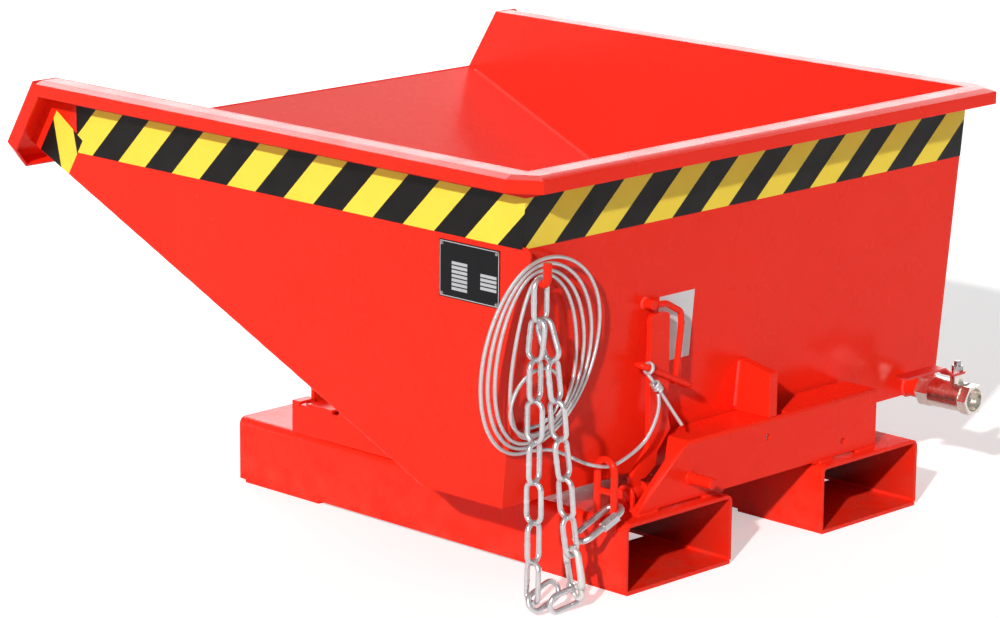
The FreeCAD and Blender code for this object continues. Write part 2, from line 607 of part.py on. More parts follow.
def make_rear_crossbeam():
    body = named("PartDesign::Body", "rear_crossbeam")
    gap, lift = "half_base - pocket_width", "pocket_height + beam_foot_lift"
    web = [("-beam_left", "pocket_height"), ("-beam_slope_top", "beam_top"), ("beam_right", "beam_top"),
           ("beam_right", "pocket_height")]
    # Weld feet reach the pockets at both sides of each pocket's top.
    for foot_right, foot_left in (
        (None, "beam_right - beam_foot"), (f"{gap} + beam_foot", gap),
        (f"-({gap})", f"-({gap}) - beam_foot"), ("-beam_left + beam_foot", None),
    ):
        if foot_right:
            web += [(foot_right, lift), (foot_right, "pocket_height")]
        if foot_left:
            web += [(foot_left, "pocket_height"), (foot_left, lift)]
    pad(body, "XZ_Plane", "beam_rear", "beam_rear + beam_sheet", [web], [
        ("-beam_hole_near", "beam_top - beam_hole_drop", "beam_hole / 2"),
        ("beam_hole_side", "pocket_height + beam_hole_rise", "beam_hole / 2")])
    pad(body, "XZ_Plane", "beam_rear", "beam_front", [[
        ("-beam_left", "pocket_height"), ("-beam_slope_top", "beam_top"), ("beam_right", "beam_top"),
        ("beam_right", "beam_top - beam_sheet"),
        ("-beam_left + beam_skew + (beam_rise - beam_sheet) * beam_run", "beam_top - beam_sheet"),
        ("-beam_left + beam_skew", "pocket_height")]])
    beyond = "beam_front + overrun"
    cut(body, "XY_Plane", "pocket_height - overrun", "beam_top + overrun", [[
        ("-beam_left - overrun", "beam_rear + beam_tip_depth"), ("-beam_left", "beam_rear + beam_tip_depth"),
        ("-beam_knee_side", "beam_rear + beam_knee_depth"), ("-beam_slope_top", "beam_rear + beam_shoulder_depth"),
        ("-beam_level_side", "beam_front"), ("-beam_level_side", beyond), ("-beam_left - overrun", beyond)]])
    cut(body, "XY_Plane", "beam_top - beam_sheet - overrun", "beam_top + overrun", [[
        ("beam_notch_left", "beam_rear + beam_sheet"), ("beam_notch_right", "beam_rear + beam_sheet"),
        ("beam_notch_right", "beam_rear + beam_knee_depth"), ("beam_taper_right", "beam_front"),
        ("beam_taper_right", beyond), ("beam_notch_left", beyond)]])
    round_edges(body, "beam_bend", lambda edge: runs_at(edge, "x", y="beam_rear", z="beam_top"))
    place(body)
    return body


def make_stub_pin():
    body = named("PartDesign::Body", "stub_pin")
    turned(body, [("0", "0"), ("stub_diameter / 2", "0"), ("stub_diameter / 2", "stub_length - stub_chamfer"),
                  ("stub_diameter / 2 - stub_chamfer", "stub_length"), ("0", "stub_length")])
    place(body, "-stub_side", "beam_rear", "pocket_height + stub_rise", (1, 0, 0), 90)
    return body


def rod_along(points, bend):
    """A wire of straight runs joined by tangent arcs, through points listed as vectors."""
    edges = []
    last = points[0]
    for before, corner, after in zip(points, points[1:], points[2:]):
        inward, outward = (before - corner).normalize(), (after - corner).normalize()
        half = inward.getAngle(outward) / 2
        reach = bend / math.tan(half)
        start, stop = corner + inward * reach, corner + outward * reach
        towards = (inward + outward).normalize()
        middle = corner + towards * (bend / math.sin(half) - bend)
        if (start - last).Length > 1e-6:
            edges.append(Part.LineSegment(last, start).toShape())
        edges.append(Part.Arc(start, middle, stop).toShape())
        last = stop
    edges.append(Part.LineSegment(last, points[-1]).toShape())
    return Part.Wire(edges)


def swept_round(path, radius):
    """A round rod or rope along a wire."""
    edge = path.OrderedEdges[0]
    begin = edge.valueAt(edge.FirstParameter)
    ring = Part.Wire(Part.Circle(begin, edge.tangentAt(edge.FirstParameter), radius).toShape())
    return path.makePipeShell([ring], True, False)


def set_shape(name, shape):
    """A piece whose form is set here from the sizes, moved like every other piece."""
    thing = named("Part::Feature", name)
    thing.Shape = shape
    place(thing)
    return thing


def spot(x, y, z):
    return FreeCAD.Vector(value(x), value(y), value(z))


def make_guide_loop():
    """Two legs, an arch over them and a crossbar, all of round rod."""
    loop = named("Part::MultiFuse", "guide_loop")
    side, low = "-half_base - loop_wire / 2", "pocket_height - loop_foot"
    arch = "pocket_height + loop_rise - loop_pitch / 2"
    pieces = []
    for name, along in (("loop_leg_rear", "loop_rear"), ("loop_leg_front", "loop_rear + loop_pitch")):
        leg = doc.addObject("Part::Cylinder", name)
        bind(leg, "Radius", "loop_wire / 2")
        bind(leg, "Height", f"{arch} - ({low})")
        place(leg, side, along, low)
        pieces.append(leg)
    top = doc.addObject("Part::Torus", "loop_arch")
    bind(top, "Radius1", "loop_pitch / 2")
    bind(top, "Radius2", "loop_wire / 2")
    top.Angle3 = 180
    place(top, side, "loop_rear + loop_pitch / 2", arch, (1, 1, 1), 120)
    bar = doc.addObject("Part::Cylinder", "loop_crossbar")
    bind(bar, "Radius", "loop_bar / 2")
    bind(bar, "Height", "loop_pitch")
    place(bar, side, "loop_rear", "pocket_height + loop_bar_rise", (1, 0, 0), -90)
    loop.Shapes = pieces + [top, bar]
    return loop


def link_arms():
    """Half the length and half the width of the quick link, to the middle of its wire."""
    return "(link_length / 2 - link_wire / 2)", "(link_width / 2 - link_wire / 2)"


def place_on_link(thing):
    """Hangs a piece drawn in the quick link's own axes: X away from the loop, Y to the rear."""
    half = link_arms()[0]
    turn = FreeCAD.Rotation(FreeCAD.Vector(0, 0, 1), 180 - value("link_swing"))
    turn = turn * FreeCAD.Rotation(FreeCAD.Vector(0, 1, 0), value("link_fall"))
    place(thing, f"-half_base + link_wire / 2 + close_gap - {half} * cos(link_fall) * cos(link_swing)",
          f"loop_rear + {half} * cos(link_fall) * sin(link_swing)",
          f"pocket_height + link_rise - {half} * sin(link_fall)", turn.Axis, math.degrees(turn.Angle))


def solid(kind, name, turn=(0, 0, 1), angle=0, at=("0", "0", "0"), **sizes_of):
    """A plain solid in the axes of the piece that it becomes a part of."""
    thing = doc.addObject(kind, name)
    for size, formula in sizes_of.items():
        bind(thing, size, formula)
    thing.Placement.Rotation = FreeCAD.Rotation(FreeCAD.Vector(*turn), angle)
    for axis, formula in zip("xyz", at):
        bind(thing, f"Placement.Base.{axis}", formula)
    return thing


def make_quick_link():
    """An oval of round wire, open under its sleeve."""
    half, arm = link_arms()
    straight, wire = f"({half} - {arm})", "link_wire / 2"
    far, near = "-link_gap_far", "-link_gap_far - link_gap"
    ends = []
    for name, turn, side in (("link_end_free", -90, straight), ("link_end_loop", 90, f"-{straight}")):
        end = solid("Part::Torus", name, angle=turn, at=(side, "0", "0"), Radius1=arm, Radius2=wire)
        end.Angle3 = 180
        ends.append(end)
    link = named("Part::MultiFuse", "quick_link")
    link.Shapes = ends + [
        solid("Part::Cylinder", "link_arm_whole", (0, 1, 0), 90, (f"-{straight}", f"-{arm}", "0"),
              Radius=wire, Height=f"2 * {straight}"),
        solid("Part::Cylinder", "link_arm_free", (0, 1, 0), 90, (far, arm, "0"),
              Radius=wire, Height=f"{straight} - ({far})"),
        solid("Part::Cylinder", "link_arm_loop", (0, 1, 0), 90, (f"-{straight}", arm, "0"),
              Radius=wire, Height=f"{near} + {straight}"),
    ]
    place_on_link(link)
    return link


def make_quick_link_sleeve():
    arm = link_arms()[1]
    bar = solid("Part::Prism", "sleeve_bar", (0, 1, 0), 90, ("-sleeve_middle - sleeve_length / 2", arm, "0"),
                Circumradius="sleeve_flats / sqrt(3)", Height="sleeve_length")
    bar.Polygon = 6
    bore = solid("Part::Cylinder", "sleeve_bore", (0, 1, 0), 90,
                 ("-sleeve_middle - sleeve_length / 2 - overrun", arm, "0"),
                 Radius="link_wire / 2 + pin_gap", Height="sleeve_length + 2 * overrun")
    sleeve = named("Part::Cut", "quick_link_sleeve")
    sleeve.Base, sleeve.Tool = bar, bore
    place_on_link(sleeve)
    return sleeve


def ear_outline():
    rear = "lever_mid_y - ear_width / 2"
    front = "lever_mid_y + ear_width / 2"
    return [(rear, "pocket_height"), (front, "pocket_height"), (front, "pivot_z", "ear_width / 2", 1),
            ("lever_mid_y", "pivot_z + ear_width / 2", "ear_width / 2", 1), (rear, "pivot_z")]


def make_lever_bracket():
    """A strip on the pocket with two ears round the lever's foot."""
    body = named("PartDesign::Body", "lever_bracket")
    inner, outer = "lever_foot_width / 2 + ear_gap", "lever_foot_width / 2 + ear_gap + ear_sheet"
    pad(body, "YZ_Plane", f"-({outer})", outer, [rectangle(
        "lever_mid_y - ear_width / 2", "lever_mid_y + ear_width / 2", "pocket_height",
        "pocket_height + bracket_floor")])
    bore = ("lever_mid_y", "pivot_z", "pivot_diameter / 2 + pin_gap")
    pad(body, "YZ_Plane", f"-({outer})", f"-({inner})", [ear_outline()], [bore])
    pad(body, "YZ_Plane", inner, outer, [ear_outline()], [bore])
    place(body, "-lever_foot_side")
    return body


def make_lever_pivot():
    body = named("PartDesign::Body", "lever_pivot_bolt")
    face = "lever_foot_width / 2 + ear_gap + ear_sheet"
    shank = ("0", "0", "pivot_diameter / 2")
    pad(body, "YZ_Plane", f"-({face})", f"{face} + pin_gap", [], [shank])
    pad(body, "YZ_Plane", f"-({face}) - pivot_head_height", f"-({face})", [hexagon("0", "0", "pivot_head")])
    pad(body, "YZ_Plane", face, f"{face} + pivot_head_height", [hexagon("0", "0", "pivot_head")])
    place(body, "-lever_foot_side", "lever_mid_y", "pivot_z")
    return body


# Lock lever

LEVER_SHARES = (
    (1.43, 1.545), (1.557, 1.273), (0.949, 0.818), (0.899, 0.509), (0.443, 0.3), (0.215, 0.29),
    (0.215, -0.091), (-0.215, -0.091), (-0.215, 0.382), (0.57, 0.964),
)


def make_lock_lever():
    """A flat bar, bent aside over a cross tube at its foot."""
    body = named("PartDesign::Body", "lock_lever")
    left, right = "-lever_side - lever_width / 2", "-lever_side + lever_width / 2"
    outline = [(f"-lever_foot_side + {across} * lever_offset", f"pivot_z + {up} * lever_climb")
               for across, up in LEVER_SHARES]
    outline += [(left, "lever_top - lever_corner", "lever_corner", -1), (f"{left} + lever_corner", "lever_top"),
                (f"{right} - lever_corner", "lever_top", "lever_corner", -1), (right, "lever_top - lever_corner")]
    pad(body, "XZ_Plane", "lever_rear", "lever_rear + lever_sheet", [outline])
    foot = ("-lever_foot_side - lever_foot_width / 2", "-lever_foot_side + lever_foot_width / 2")
    pad(body, "YZ_Plane", *foot, [], [("lever_mid_y", "pivot_z", "lever_foot_tube / 2")])
    cut(body, "YZ_Plane", f"{foot[0]} - overrun", f"{foot[1]} + overrun", [],
        [("lever_mid_y", "pivot_z", "pivot_diameter / 2 + pin_gap")])
    place(body)
    return body


# Turns of the latch handle: shares of the bar's width aside from its middle, and of the ring's rise
HANDLE_SHARES = ((-0.118, 1), (0.412, 0.98), (1.176, 0.837), (1.206, 0.673), (0.926, -0.06))
RING_SHARES = ((-0.941, 0.286), (1.559, -0.112))


def make_latch_handle():
    """A bent rod welded to a flattened ring that goes round the lever's bar."""
    rise = value("handle_top - ring_z")

    def at(share):
        return spot(f"-lever_side + {share[0]} * lever_width", "lever_mid_y", f"ring_z + {share[1]} * {rise}")
    rod = swept_round(rod_along([at(share) for share in HANDLE_SHARES], value("handle_bend")),
                      value("handle_wire / 2"))
    ends = [at(share) for share in RING_SHARES]
    along = (ends[1] - ends[0]).normalize()
    across = FreeCAD.Vector(0, value("lever_sheet / 2 + handle_wire / 2"), 0)
    centres = [ends[0] + along * across.Length, ends[1] - along * across.Length]
    corners = [centres[0] + across, centres[1] + across, centres[1] - across, centres[0] - across]
    ring = Part.Wire([
        Part.LineSegment(corners[0], corners[1]).toShape(),
        Part.Arc(corners[1], ends[1], corners[2]).toShape(),
        Part.LineSegment(corners[2], corners[3]).toShape(),
        Part.Arc(corners[3], ends[0], corners[0]).toShape(),
    ])
    return set_shape("latch_handle", swept_round(ring, value("handle_wire / 2")).fuse(rod))


# Roll shaft

def make_rocker_shaft():
    body = named("PartDesign::Body", "rocker_shaft")
    radius = "shaft_diameter / 2"
    turned(body, [("0", "-shaft_half"), (f"{radius} - shaft_chamfer", "-shaft_half"),
                  (radius, "-shaft_half + shaft_chamfer"), (radius, "shaft_half - shaft_chamfer"),
                  (f"{radius} - shaft_chamfer", "shaft_half"), ("0", "shaft_half")])
    place(body, "0", "shaft_y", "shaft_z", (0, 1, 0), 90)
    return body


def make_shaft_collar():
    body = named("PartDesign::Body", "shaft_collar_left")
    face = "rocker_side + rocker_sheet / 2 + pin_gap"
    pad(body, "YZ_Plane", f"-({face}) - collar_width", f"-({face})", [],
        [("0", "0", "collar_diameter / 2"), ("0", "0", "shaft_diameter / 2")])
    place(body, "0", "shaft_y", "shaft_z")
    return body


# Bucket

def make_side_wall():
    body = named("PartDesign::Body", "side_wall_left")
    pad(body, "YZ_Plane", "-half_bucket", "-half_bucket + shell_sheet", [[
        ("rear_top_y", "bucket_top"), (wall_y("fin_top"), "fin_top"),
        (f"{wall_y('fin_top')} - fin_depth", "fin_top"), (wall_y("fin_foot"), "fin_foot"),
        ("rear_bottom_y", "bucket_bottom"), ("flat_front_y", "bucket_bottom"),
        ("back_low_y", "back_low_z"), ("mouth_back_y", "bucket_top")]])
    round_edges(body, "fin_corner", lambda edge: runs_at(
        edge, "x", y=f"{wall_y('fin_top')} - fin_depth", z="fin_top"))
    place(body)
    return body


def make_rear_wall():
    body = named("PartDesign::Body", "rear_wall")
    inside = "half_bucket - shell_sheet"
    pad(body, "YZ_Plane", f"-({inside})", inside, [[
        ("rear_top_y", "bucket_top"), ("rear_bottom_y", "bucket_bottom"),
        ("rear_bottom_y + wall_skew", "bucket_bottom"), ("rear_top_y + wall_skew", "bucket_top")]])
    cut(body, "XZ_Plane", "rear_top_y - overrun", "rear_bottom_y + overrun", [],
        [("drain_side", "drain_rise", "drain_bore / 2")])
    place(body)
    return body


def make_chute_floor():
    """The flat bottom and the slope that the load slides down."""
    body = named("PartDesign::Body", "chute_floor")
    inside, top = "half_bucket - shell_sheet", "bucket_bottom + shell_sheet"
    pad(body, "YZ_Plane", f"-({inside})", inside, [[
        ("rear_bottom_y + wall_skew", "bucket_bottom"), ("flat_front_y", "bucket_bottom"),
        ("back_low_y", "back_low_z"), ("back_low_y - mouth_run * chute_lift", "back_low_z + chute_lift"),
        ("flat_front_y - shell_sheet * tan(chute_angle / 2)", top),
        ("rear_bottom_y + wall_skew - wall_lean * shell_sheet", top)]])
    place(body)
    return body


def rim_outline(inset):
    """The rim's plan at a distance inside its outer edge, with its rear corners cut off."""
    side = f"(half_bucket + rim_out - ({inset}))"
    rear = f"(rear_top_y - rim_out + ({inset}))"
    slant = "sqrt(rim_chamfer_side ^ 2 + rim_chamfer_length ^ 2)"
    corner_y = (f"(rear_top_y - rim_out + rim_chamfer_length"
                f" + ({inset}) * ({slant} - rim_chamfer_length) / rim_chamfer_side)")
    corner_x = (f"(half_bucket + rim_out - rim_chamfer_side"
                f" - ({inset}) * ({slant} - rim_chamfer_side) / rim_chamfer_length)")
    front = "mouth_low_y"
    return [(f"-{corner_x}", rear), (corner_x, rear), (side, corner_y), (side, front), (f"-{side}", front),
            (f"-{side}", corner_y)]


def loft(body, kind, low, low_inset, high, high_inset):
    """A straight-sided step between two plans of the rim."""
    first = sketch_on(body, "XY_Plane", low, [rim_outline(low_inset)])
    last = sketch_on(body, "XY_Plane", high, [rim_outline(high_inset)])
    feature = body.newObject(kind, f"{body.Name}_loft")
    feature.Profile = first
    feature.Sections = [last]
    feature.Ruled = True
    return feature


def make_bucket_rim():
    """The rolled rim: a level shelf round the walls, falling a little to a lip turned down."""
    body = named("PartDesign::Body", "bucket_rim")
    low, knee = "bucket_top - rim_fall - rim_lip", "bucket_top - rim_fall"
    flat = "rim_out - rim_flat"
    pad(body, "XY_Plane", low, knee, [rim_outline("0")])
    loft(body, "PartDesign::AdditiveLoft", knee, "0", "bucket_top", flat)
    cut(body, "XY_Plane", f"{low} - overrun", f"{knee} - shell_sheet", [rim_outline("shell_sheet")])
    loft(body, "PartDesign::SubtractiveLoft", f"{knee} - shell_sheet", "shell_sheet",
         "bucket_top - shell_sheet", flat)
    cut(body, "XY_Plane", f"{low} - overrun", "bucket_top + overrun", [rectangle(
        "-half_bucket", "half_bucket", "rear_top_y", "mouth_low_y + overrun")])
    wide = "half_bucket + rim_out"
    deep = "(rim_fall + rim_lip + overrun)"
    cut(body, "YZ_Plane", f"-({wide}) - overrun", f"{wide} + overrun", [[
        ("mouth_back_y - mouth_run * overrun", "bucket_top + overrun"),
        (f"mouth_back_y + mouth_run * {deep}", f"bucket_top - {deep}"),
        ("mouth_low_y + overrun", f"bucket_top - {deep}"), ("mouth_low_y + overrun", "bucket_top + overrun")]])
    behind_lip = [
        ("mouth_top_y - mouth_lip * cos(mouth_angle)", "bucket_top - mouth_lip * sin(mouth_angle)"),
        (f"lip_back_y + mouth_run * {deep}", f"bucket_top - {deep}"),
        (f"mouth_top_y + mouth_run * {deep}", f"bucket_top - {deep}"), ("mouth_top_y", "bucket_top")]
    cut(body, "YZ_Plane", f"-({wide}) - overrun", f"-({wide}) + shell_sheet", [behind_lip])
    cut(body, "YZ_Plane", f"{wide} - shell_sheet", f"{wide} + overrun", [behind_lip])
    place(body)
    return body


def mouth_outline(inset):
    """The mouth frame's outer contour, inside by a distance, down the left side and up the right."""
    side = f"(half_bucket + rim_out - ({inset}))"
    slant = "sqrt(mouth_chamfer_side ^ 2 + mouth_chamfer_rise ^ 2)"
    corner_z = (f"(mouth_chamfer_rise - mouth_length"
                f" + ({inset}) * ({slant} - mouth_chamfer_rise) / mouth_chamfer_side)")
    corner_x = (f"(half_bucket + rim_out - mouth_chamfer_side"
                f" - ({inset}) * ({slant} - mouth_chamfer_side) / mouth_chamfer_rise)")
    low = f"(-mouth_length + ({inset}))"
    return [(f"-{side}", "0"), (f"-{side}", corner_z), (f"-{corner_x}", low), (corner_x, low),
            (side, corner_z), (side, "0")]


def make_mouth_frame():
    """A flange round the sides and the foot of the mouth, with its edge turned back."""
    body = named("PartDesign::Body", "mouth_frame")
    inside = "half_bucket - shell_sheet"
    opening = [(inside, "0"), (inside, "-mouth_floor"), (f"-({inside})", "-mouth_floor"), (f"-({inside})", "0")]
    pad(body, "XZ_Plane", "-shell_sheet", "0", [mouth_outline("0") + opening])
    inner = mouth_outline("shell_sheet")
    pad(body, "XZ_Plane", "-mouth_lip", "-shell_sheet", [mouth_outline("0") + inner[::-1]])
    place(body, "0", "mouth_top_y", "bucket_top", (1, 0, 0), value("mouth_angle"))
    return body


def on_rocker(radius, aside, angle):
    """A place on the rocker, at an angle before straight down and a little aside of it."""
    return (f"({radius}) * sin({angle}) + ({aside}) * cos({angle})",
            f"-({radius}) * cos({angle}) + ({aside}) * sin({angle})")


def make_rocker():
    """A plate under the chute with a wide curved tread and the teeth that walk in the rail's notches."""
    body = named("PartDesign::Body", "rocker_left")
    outer = "rocker_radius - seat_gap"
    tread = [on_rocker(outer, "0", "-tread_rear"), on_rocker(outer, "0", "tread_front")]
    pad(body, "YZ_Plane", "-rocker_sheet / 2", "rocker_sheet / 2", [[
        ("-rocker_rear", "chute_over_shaft - chute_rise * rocker_rear"), tread[0] + (outer, 1), tread[1],
        ("rocker_front", "chute_over_shaft + chute_rise * rocker_front")]])
    inner = f"{outer} - tread_sheet"
    pad(body, "YZ_Plane", "-tread_width / 2", "tread_width / 2", [[
        tread[0] + (outer, 1), tread[1], on_rocker(inner, "0", "tread_front") + (inner, -1),
        on_rocker(inner, "0", "-tread_rear")]])
    root, tip = f"{outer} - tread_sheet / 2", f"{outer} + tooth_height"
    tooth = pad(body, "YZ_Plane", "-tooth_width / 2", "tooth_width / 2", [[
        on_rocker(root, "-tooth_root / 2", "first_tooth"), on_rocker(tip, "-tooth_tip / 2", "first_tooth"),
        on_rocker(tip, "tooth_tip / 2", "first_tooth"), on_rocker(root, "tooth_root / 2", "first_tooth")]])
    pattern = body.newObject("PartDesign::PolarPattern", "rocker_teeth")
    pattern.Originals = [tooth]
    axis = next(feature for feature in body.Origin.OriginFeatures if feature.Role == "X_Axis")
    pattern.Axis = (axis, [""])
    bind(pattern, "Angle", "tooth_step * (notch_count - 1)")
    bind(pattern, "Occurrences", "notch_count")
    body.Tip = pattern
    cut(body, "YZ_Plane", "-rocker_sheet / 2 - overrun", "rocker_sheet / 2 + overrun", [],
        [("0", "0", "shaft_diameter / 2 + pin_gap")])
    place(body, "-rocker_side", "shaft_y", "shaft_z")
    return body


def make_stop_lug():
    body = named("PartDesign::Body", "stop_lug")
    low, rear, front = "beam_top + seat_gap", "beam_top + lug_rise", "beam_top + lug_rise + lug_slope"
    pad(body, "YZ_Plane", "lug_side - lug_width / 2", "lug_side + lug_width / 2", [[
        ("lug_rear", low), (wall_y(low), low), (wall_y(front), front), ("lug_rear", rear)]])
    place(body)
    return body


def trim_at_wall(body, left, right):
    """Ends a piece on the rear wall's leaning face."""
    cut(body, "YZ_Plane", left, right, [INSIDE_WALL])


def make_keeper_pin():
    body = named("PartDesign::Body", "keeper_pin")
    pad(body, "XZ_Plane", "keeper_end", "rear_bottom_y", [], [("-keeper_side", "keeper_rise", "keeper_diameter / 2")])
    trim_at_wall(body, "-keeper_side - overrun", "-keeper_side + overrun")
    place(body)
    return body


def make_cable_hook():
    """A round rod that stands out from the wall and turns up at its end."""
    rod = swept_round(rod_along([
        spot("-hook_side", f"{wall_y('hook_rise')} + overrun", "hook_rise"),
        spot("-hook_tip_side", "hook_tip_y", "hook_rise"),
        spot("-hook_tip_side", "hook_tip_y", "hook_tip_top")], value("hook_bend")), value("hook_wire / 2"))
    corners = [spot("-half_bucket", across, up) for across, up in INSIDE_WALL]
    wall = Part.Face(Part.makePolygon(corners + corners[:1])).extrude(spot("half_bucket", "0", "0"))
    return set_shape("cable_hook", rod.cut(wall))


def make_tape_side():
    """Striped tape on the side wall, ended where the slanting tape begins."""
    body = named("PartDesign::Body", "tape_left")
    upper, lower = mouth_tape_corners()[:2]
    share = f"((tape_bottom - ({lower[1]})) / (({upper[1]}) - ({lower[1]})))"
    pad(body, "YZ_Plane", "-half_bucket - tape_sheet", "-half_bucket", [[
        (wall_y("tape_top"), "tape_top"), (wall_y("tape_bottom"), "tape_bottom"),
        (f"({lower[0]}) + {share} * (({upper[0]}) - ({lower[0]}))", "tape_bottom"), upper,
        ("tape_end", f"({upper[1]}) + (tape_end - ({upper[0]})) * tan(mouth_angle)"),
        ("tape_end", "tape_top")]])
    place(body)
    return body


def mouth_spot(back, down):
    """A place on the side wall, behind the mouth's front face and down along the mouth."""
    return (f"mouth_top_y - ({back}) * cos(mouth_angle) + ({down}) * sin(mouth_angle)",
            f"bucket_top - ({back}) * sin(mouth_angle) - ({down}) * cos(mouth_angle)")


def mouth_tape_corners():
    """Upper rear, lower rear, lower front and upper front corners of the slanting tape."""
    front, rear = "tape_mouth_gap", "(tape_mouth_gap + tape_width)"
    foot = [f"mouth_inner - {back} * tan(mouth_angle - chute_angle)" for back in (rear, front)]
    return [mouth_spot(rear, "tape_mouth_top"), mouth_spot(rear, foot[0]), mouth_spot(front, foot[1]),
            mouth_spot(front, "tape_mouth_top")]


def make_tape_front():
    body = named("PartDesign::Body", "tape_front_left")
    pad(body, "YZ_Plane", "-half_bucket - tape_sheet", "-half_bucket", [mouth_tape_corners()])
    place(body)
    return body


def on_wall(body, left, right, low, high, sheet):
    """A thin plate that lies on the leaning rear wall."""
    skew = f"{sheet} * sqrt(1 + wall_lean ^ 2)"
    return pad(body, "YZ_Plane", left, right, [[
        (wall_y(high), high), (f"{wall_y(high)} - {skew}", high), (f"{wall_y(low)} - {skew}", low),
        (wall_y(low), low)]])


def make_tape_rear():
    body = named("PartDesign::Body", "tape_rear")
    on_wall(body, "-half_bucket + shell_sheet", "half_bucket - shell_sheet", "tape_bottom", "tape_top", "tape_sheet")
    place(body)
    return body


def make_paper_label():
    body = named("PartDesign::Body", "paper_label")
    on_wall(body, "-label_side - label_width / 2", "-label_side + label_width / 2",
            "label_bottom", "label_bottom + label_height", "label_sheet")
    place(body)
    return body


def make_data_plate():
    body = named("PartDesign::Body", "data_plate")
    pad(body, "YZ_Plane", "-half_bucket - plate_sheet", "-half_bucket", [rectangle(
        "plate_rear", "plate_rear + plate_length", "plate_bottom", "plate_bottom + plate_height")])
    place(body)
    return body


def make_plate_rivets():
    group = named("Part::Compound", "plate_rivets")
    rivets = []
    for end, along in (("rear", "plate_rear + rivet_inset"), ("front", "plate_rear + plate_length - rivet_inset")):
        for level, up in (("low", "plate_bottom + rivet_inset"),
                          ("high", "plate_bottom + plate_height - rivet_inset")):
            rivet = doc.addObject("Part::Cone", f"rivet_{end}_{level}")
            bind(rivet, "Radius1", "rivet_diameter / 2")
            bind(rivet, "Radius2", "rivet_diameter / 3")
            bind(rivet, "Height", "rivet_height")
            place(rivet, "-half_bucket - plate_sheet", along, up, (0, 1, 0), -90)
            rivets.append(rivet)
    group.Links = rivets
    return group


def make_drain_pipe():
    body = named("PartDesign::Body", "drain_pipe")
    pad(body, "XZ_Plane", "valve_front", "rear_bottom_y + overrun", [], [
        ("drain_side", "drain_rise", "drain_pipe / 2"), ("drain_side", "drain_rise", "drain_bore / 2")])
    trim_at_wall(body, "drain_side - drain_pipe", "drain_side + drain_pipe")
    place(body)
    return body


def make_valve_body():
    """A hexagon at the pipe, a round barrel over the ball and a boss round the stem."""
    body = named("PartDesign::Body", "valve_body")
    pad(body, "XZ_Plane", "valve_front - valve_hex_front", "valve_front", [hexagon("0", "0", "valve_hex")])
    pad(body, "XZ_Plane", "valve_joint", "valve_front - valve_hex_front", [], [("0", "0", "valve_barrel / 2")])
    pad(body, "XY_Plane", "0", "boss_rise", [], [("0", "stem_y", "boss_diameter / 2")])
    cut(body, "XZ_Plane", "valve_joint - overrun", "2 * stem_y - valve_joint", [],
        [("0", "0", "ball_diameter / 2 + close_gap")])
    cut(body, "XZ_Plane", "2 * stem_y - valve_joint - seat_gap", "valve_front + overrun", [],
        [("0", "0", "drain_bore / 2")])
    cut(body, "XY_Plane", "0", "boss_rise + overrun", [], [("0", "stem_y", "stem_diameter / 2 + pin_gap")])
    place(body, "drain_side", "0", "drain_rise")
    return body


def make_valve_end():
    body = named("PartDesign::Body", "valve_end")
    pad(body, "XZ_Plane", "valve_rear", "valve_joint", [hexagon("0", "0", "valve_hex")],
        [("0", "0", "drain_bore / 2")])
    cut(body, "XZ_Plane", "valve_rear - overrun", "valve_rear + outlet_depth", [],
        [("0", "0", "outlet_bore / 2")])
    place(body, "drain_side", "0", "drain_rise")
    return body


def make_valve_seat(name, near, far):
    body = named("PartDesign::Body", name)
    pad(body, "XZ_Plane", near, far, [], [
        ("0", "0", "ball_diameter / 2 + close_gap - pin_gap"), ("0", "0", "drain_bore / 2")])
    place(body, "drain_side", "0", "drain_rise")
    return body


def make_valve_ball():
    """A ball with its bore across the pipe, and a flat-bottomed hole for the stem."""
    ball = solid("Part::Sphere", "ball_round", Radius="ball_diameter / 2")
    bore = solid("Part::Cylinder", "ball_bore", (0, 1, 0), 90, ("-ball_diameter", "0", "0"),
                 Radius="drain_bore / 2", Height="2 * ball_diameter")
    hole = solid("Part::Cylinder", "ball_stem_hole", at=("0", "0", "ball_seat"),
                 Radius="stem_diameter / 2", Height="ball_diameter")
    tools = named("Part::MultiFuse", "ball_holes")
    tools.Shapes = [bore, hole]
    cut_ball = named("Part::Cut", "valve_ball")
    cut_ball.Base, cut_ball.Tool = ball, tools
    place(cut_ball, "drain_side", "stem_y", "drain_rise")
    return cut_ball


def make_valve_stem():
    body = named("PartDesign::Body", "valve_stem")
    turned(body, [("0", "ball_seat"), ("stem_diameter / 2", "ball_seat"),
                  ("stem_diameter / 2", "stem_top - stub_chamfer / 2"),
                  ("stem_diameter / 2 - stub_chamfer / 2", "stem_top"), ("0", "stem_top")])
    place(body, "drain_side", "stem_y", "drain_rise")
    return body


def make_valve_lever():
    """A cranked strip with a rounded end, on the stem."""
    body = named("PartDesign::Body", "valve_lever")
    low, sheet, rise = "boss_rise + seat_gap", "valve_lever_sheet", "valve_lever_rise"
    pad(body, "XZ_Plane", "-valve_lever_width / 2", "valve_lever_width / 2", [[
        ("hub_radius", low), ("hub_radius", f"{low} + {sheet}"), ("-crank_near", f"{low} + {sheet}"),
        ("-crank_far", f"{low} + {sheet} + {rise}"), ("-valve_lever_length", f"{low} + {sheet} + {rise}"),
        ("-valve_lever_length", f"{low} + {rise}"), ("-crank_far", f"{low} + {rise}"),
        ("-crank_near", low)]])
    cut(body, "XY_Plane", f"{low} - overrun", f"{low} + overrun", [],
        [("0", "0", "stem_diameter / 2")])
    round_edges(body, "valve_lever_width * 0.4", lambda edge: any(
        runs_at(edge, "z", x=end, y=side) for end in ("hub_radius", "-valve_lever_length")
        for side in ("-valve_lever_width / 2", "valve_lever_width / 2")))
    place(body, "drain_side", "stem_y", "drain_rise")
    return body


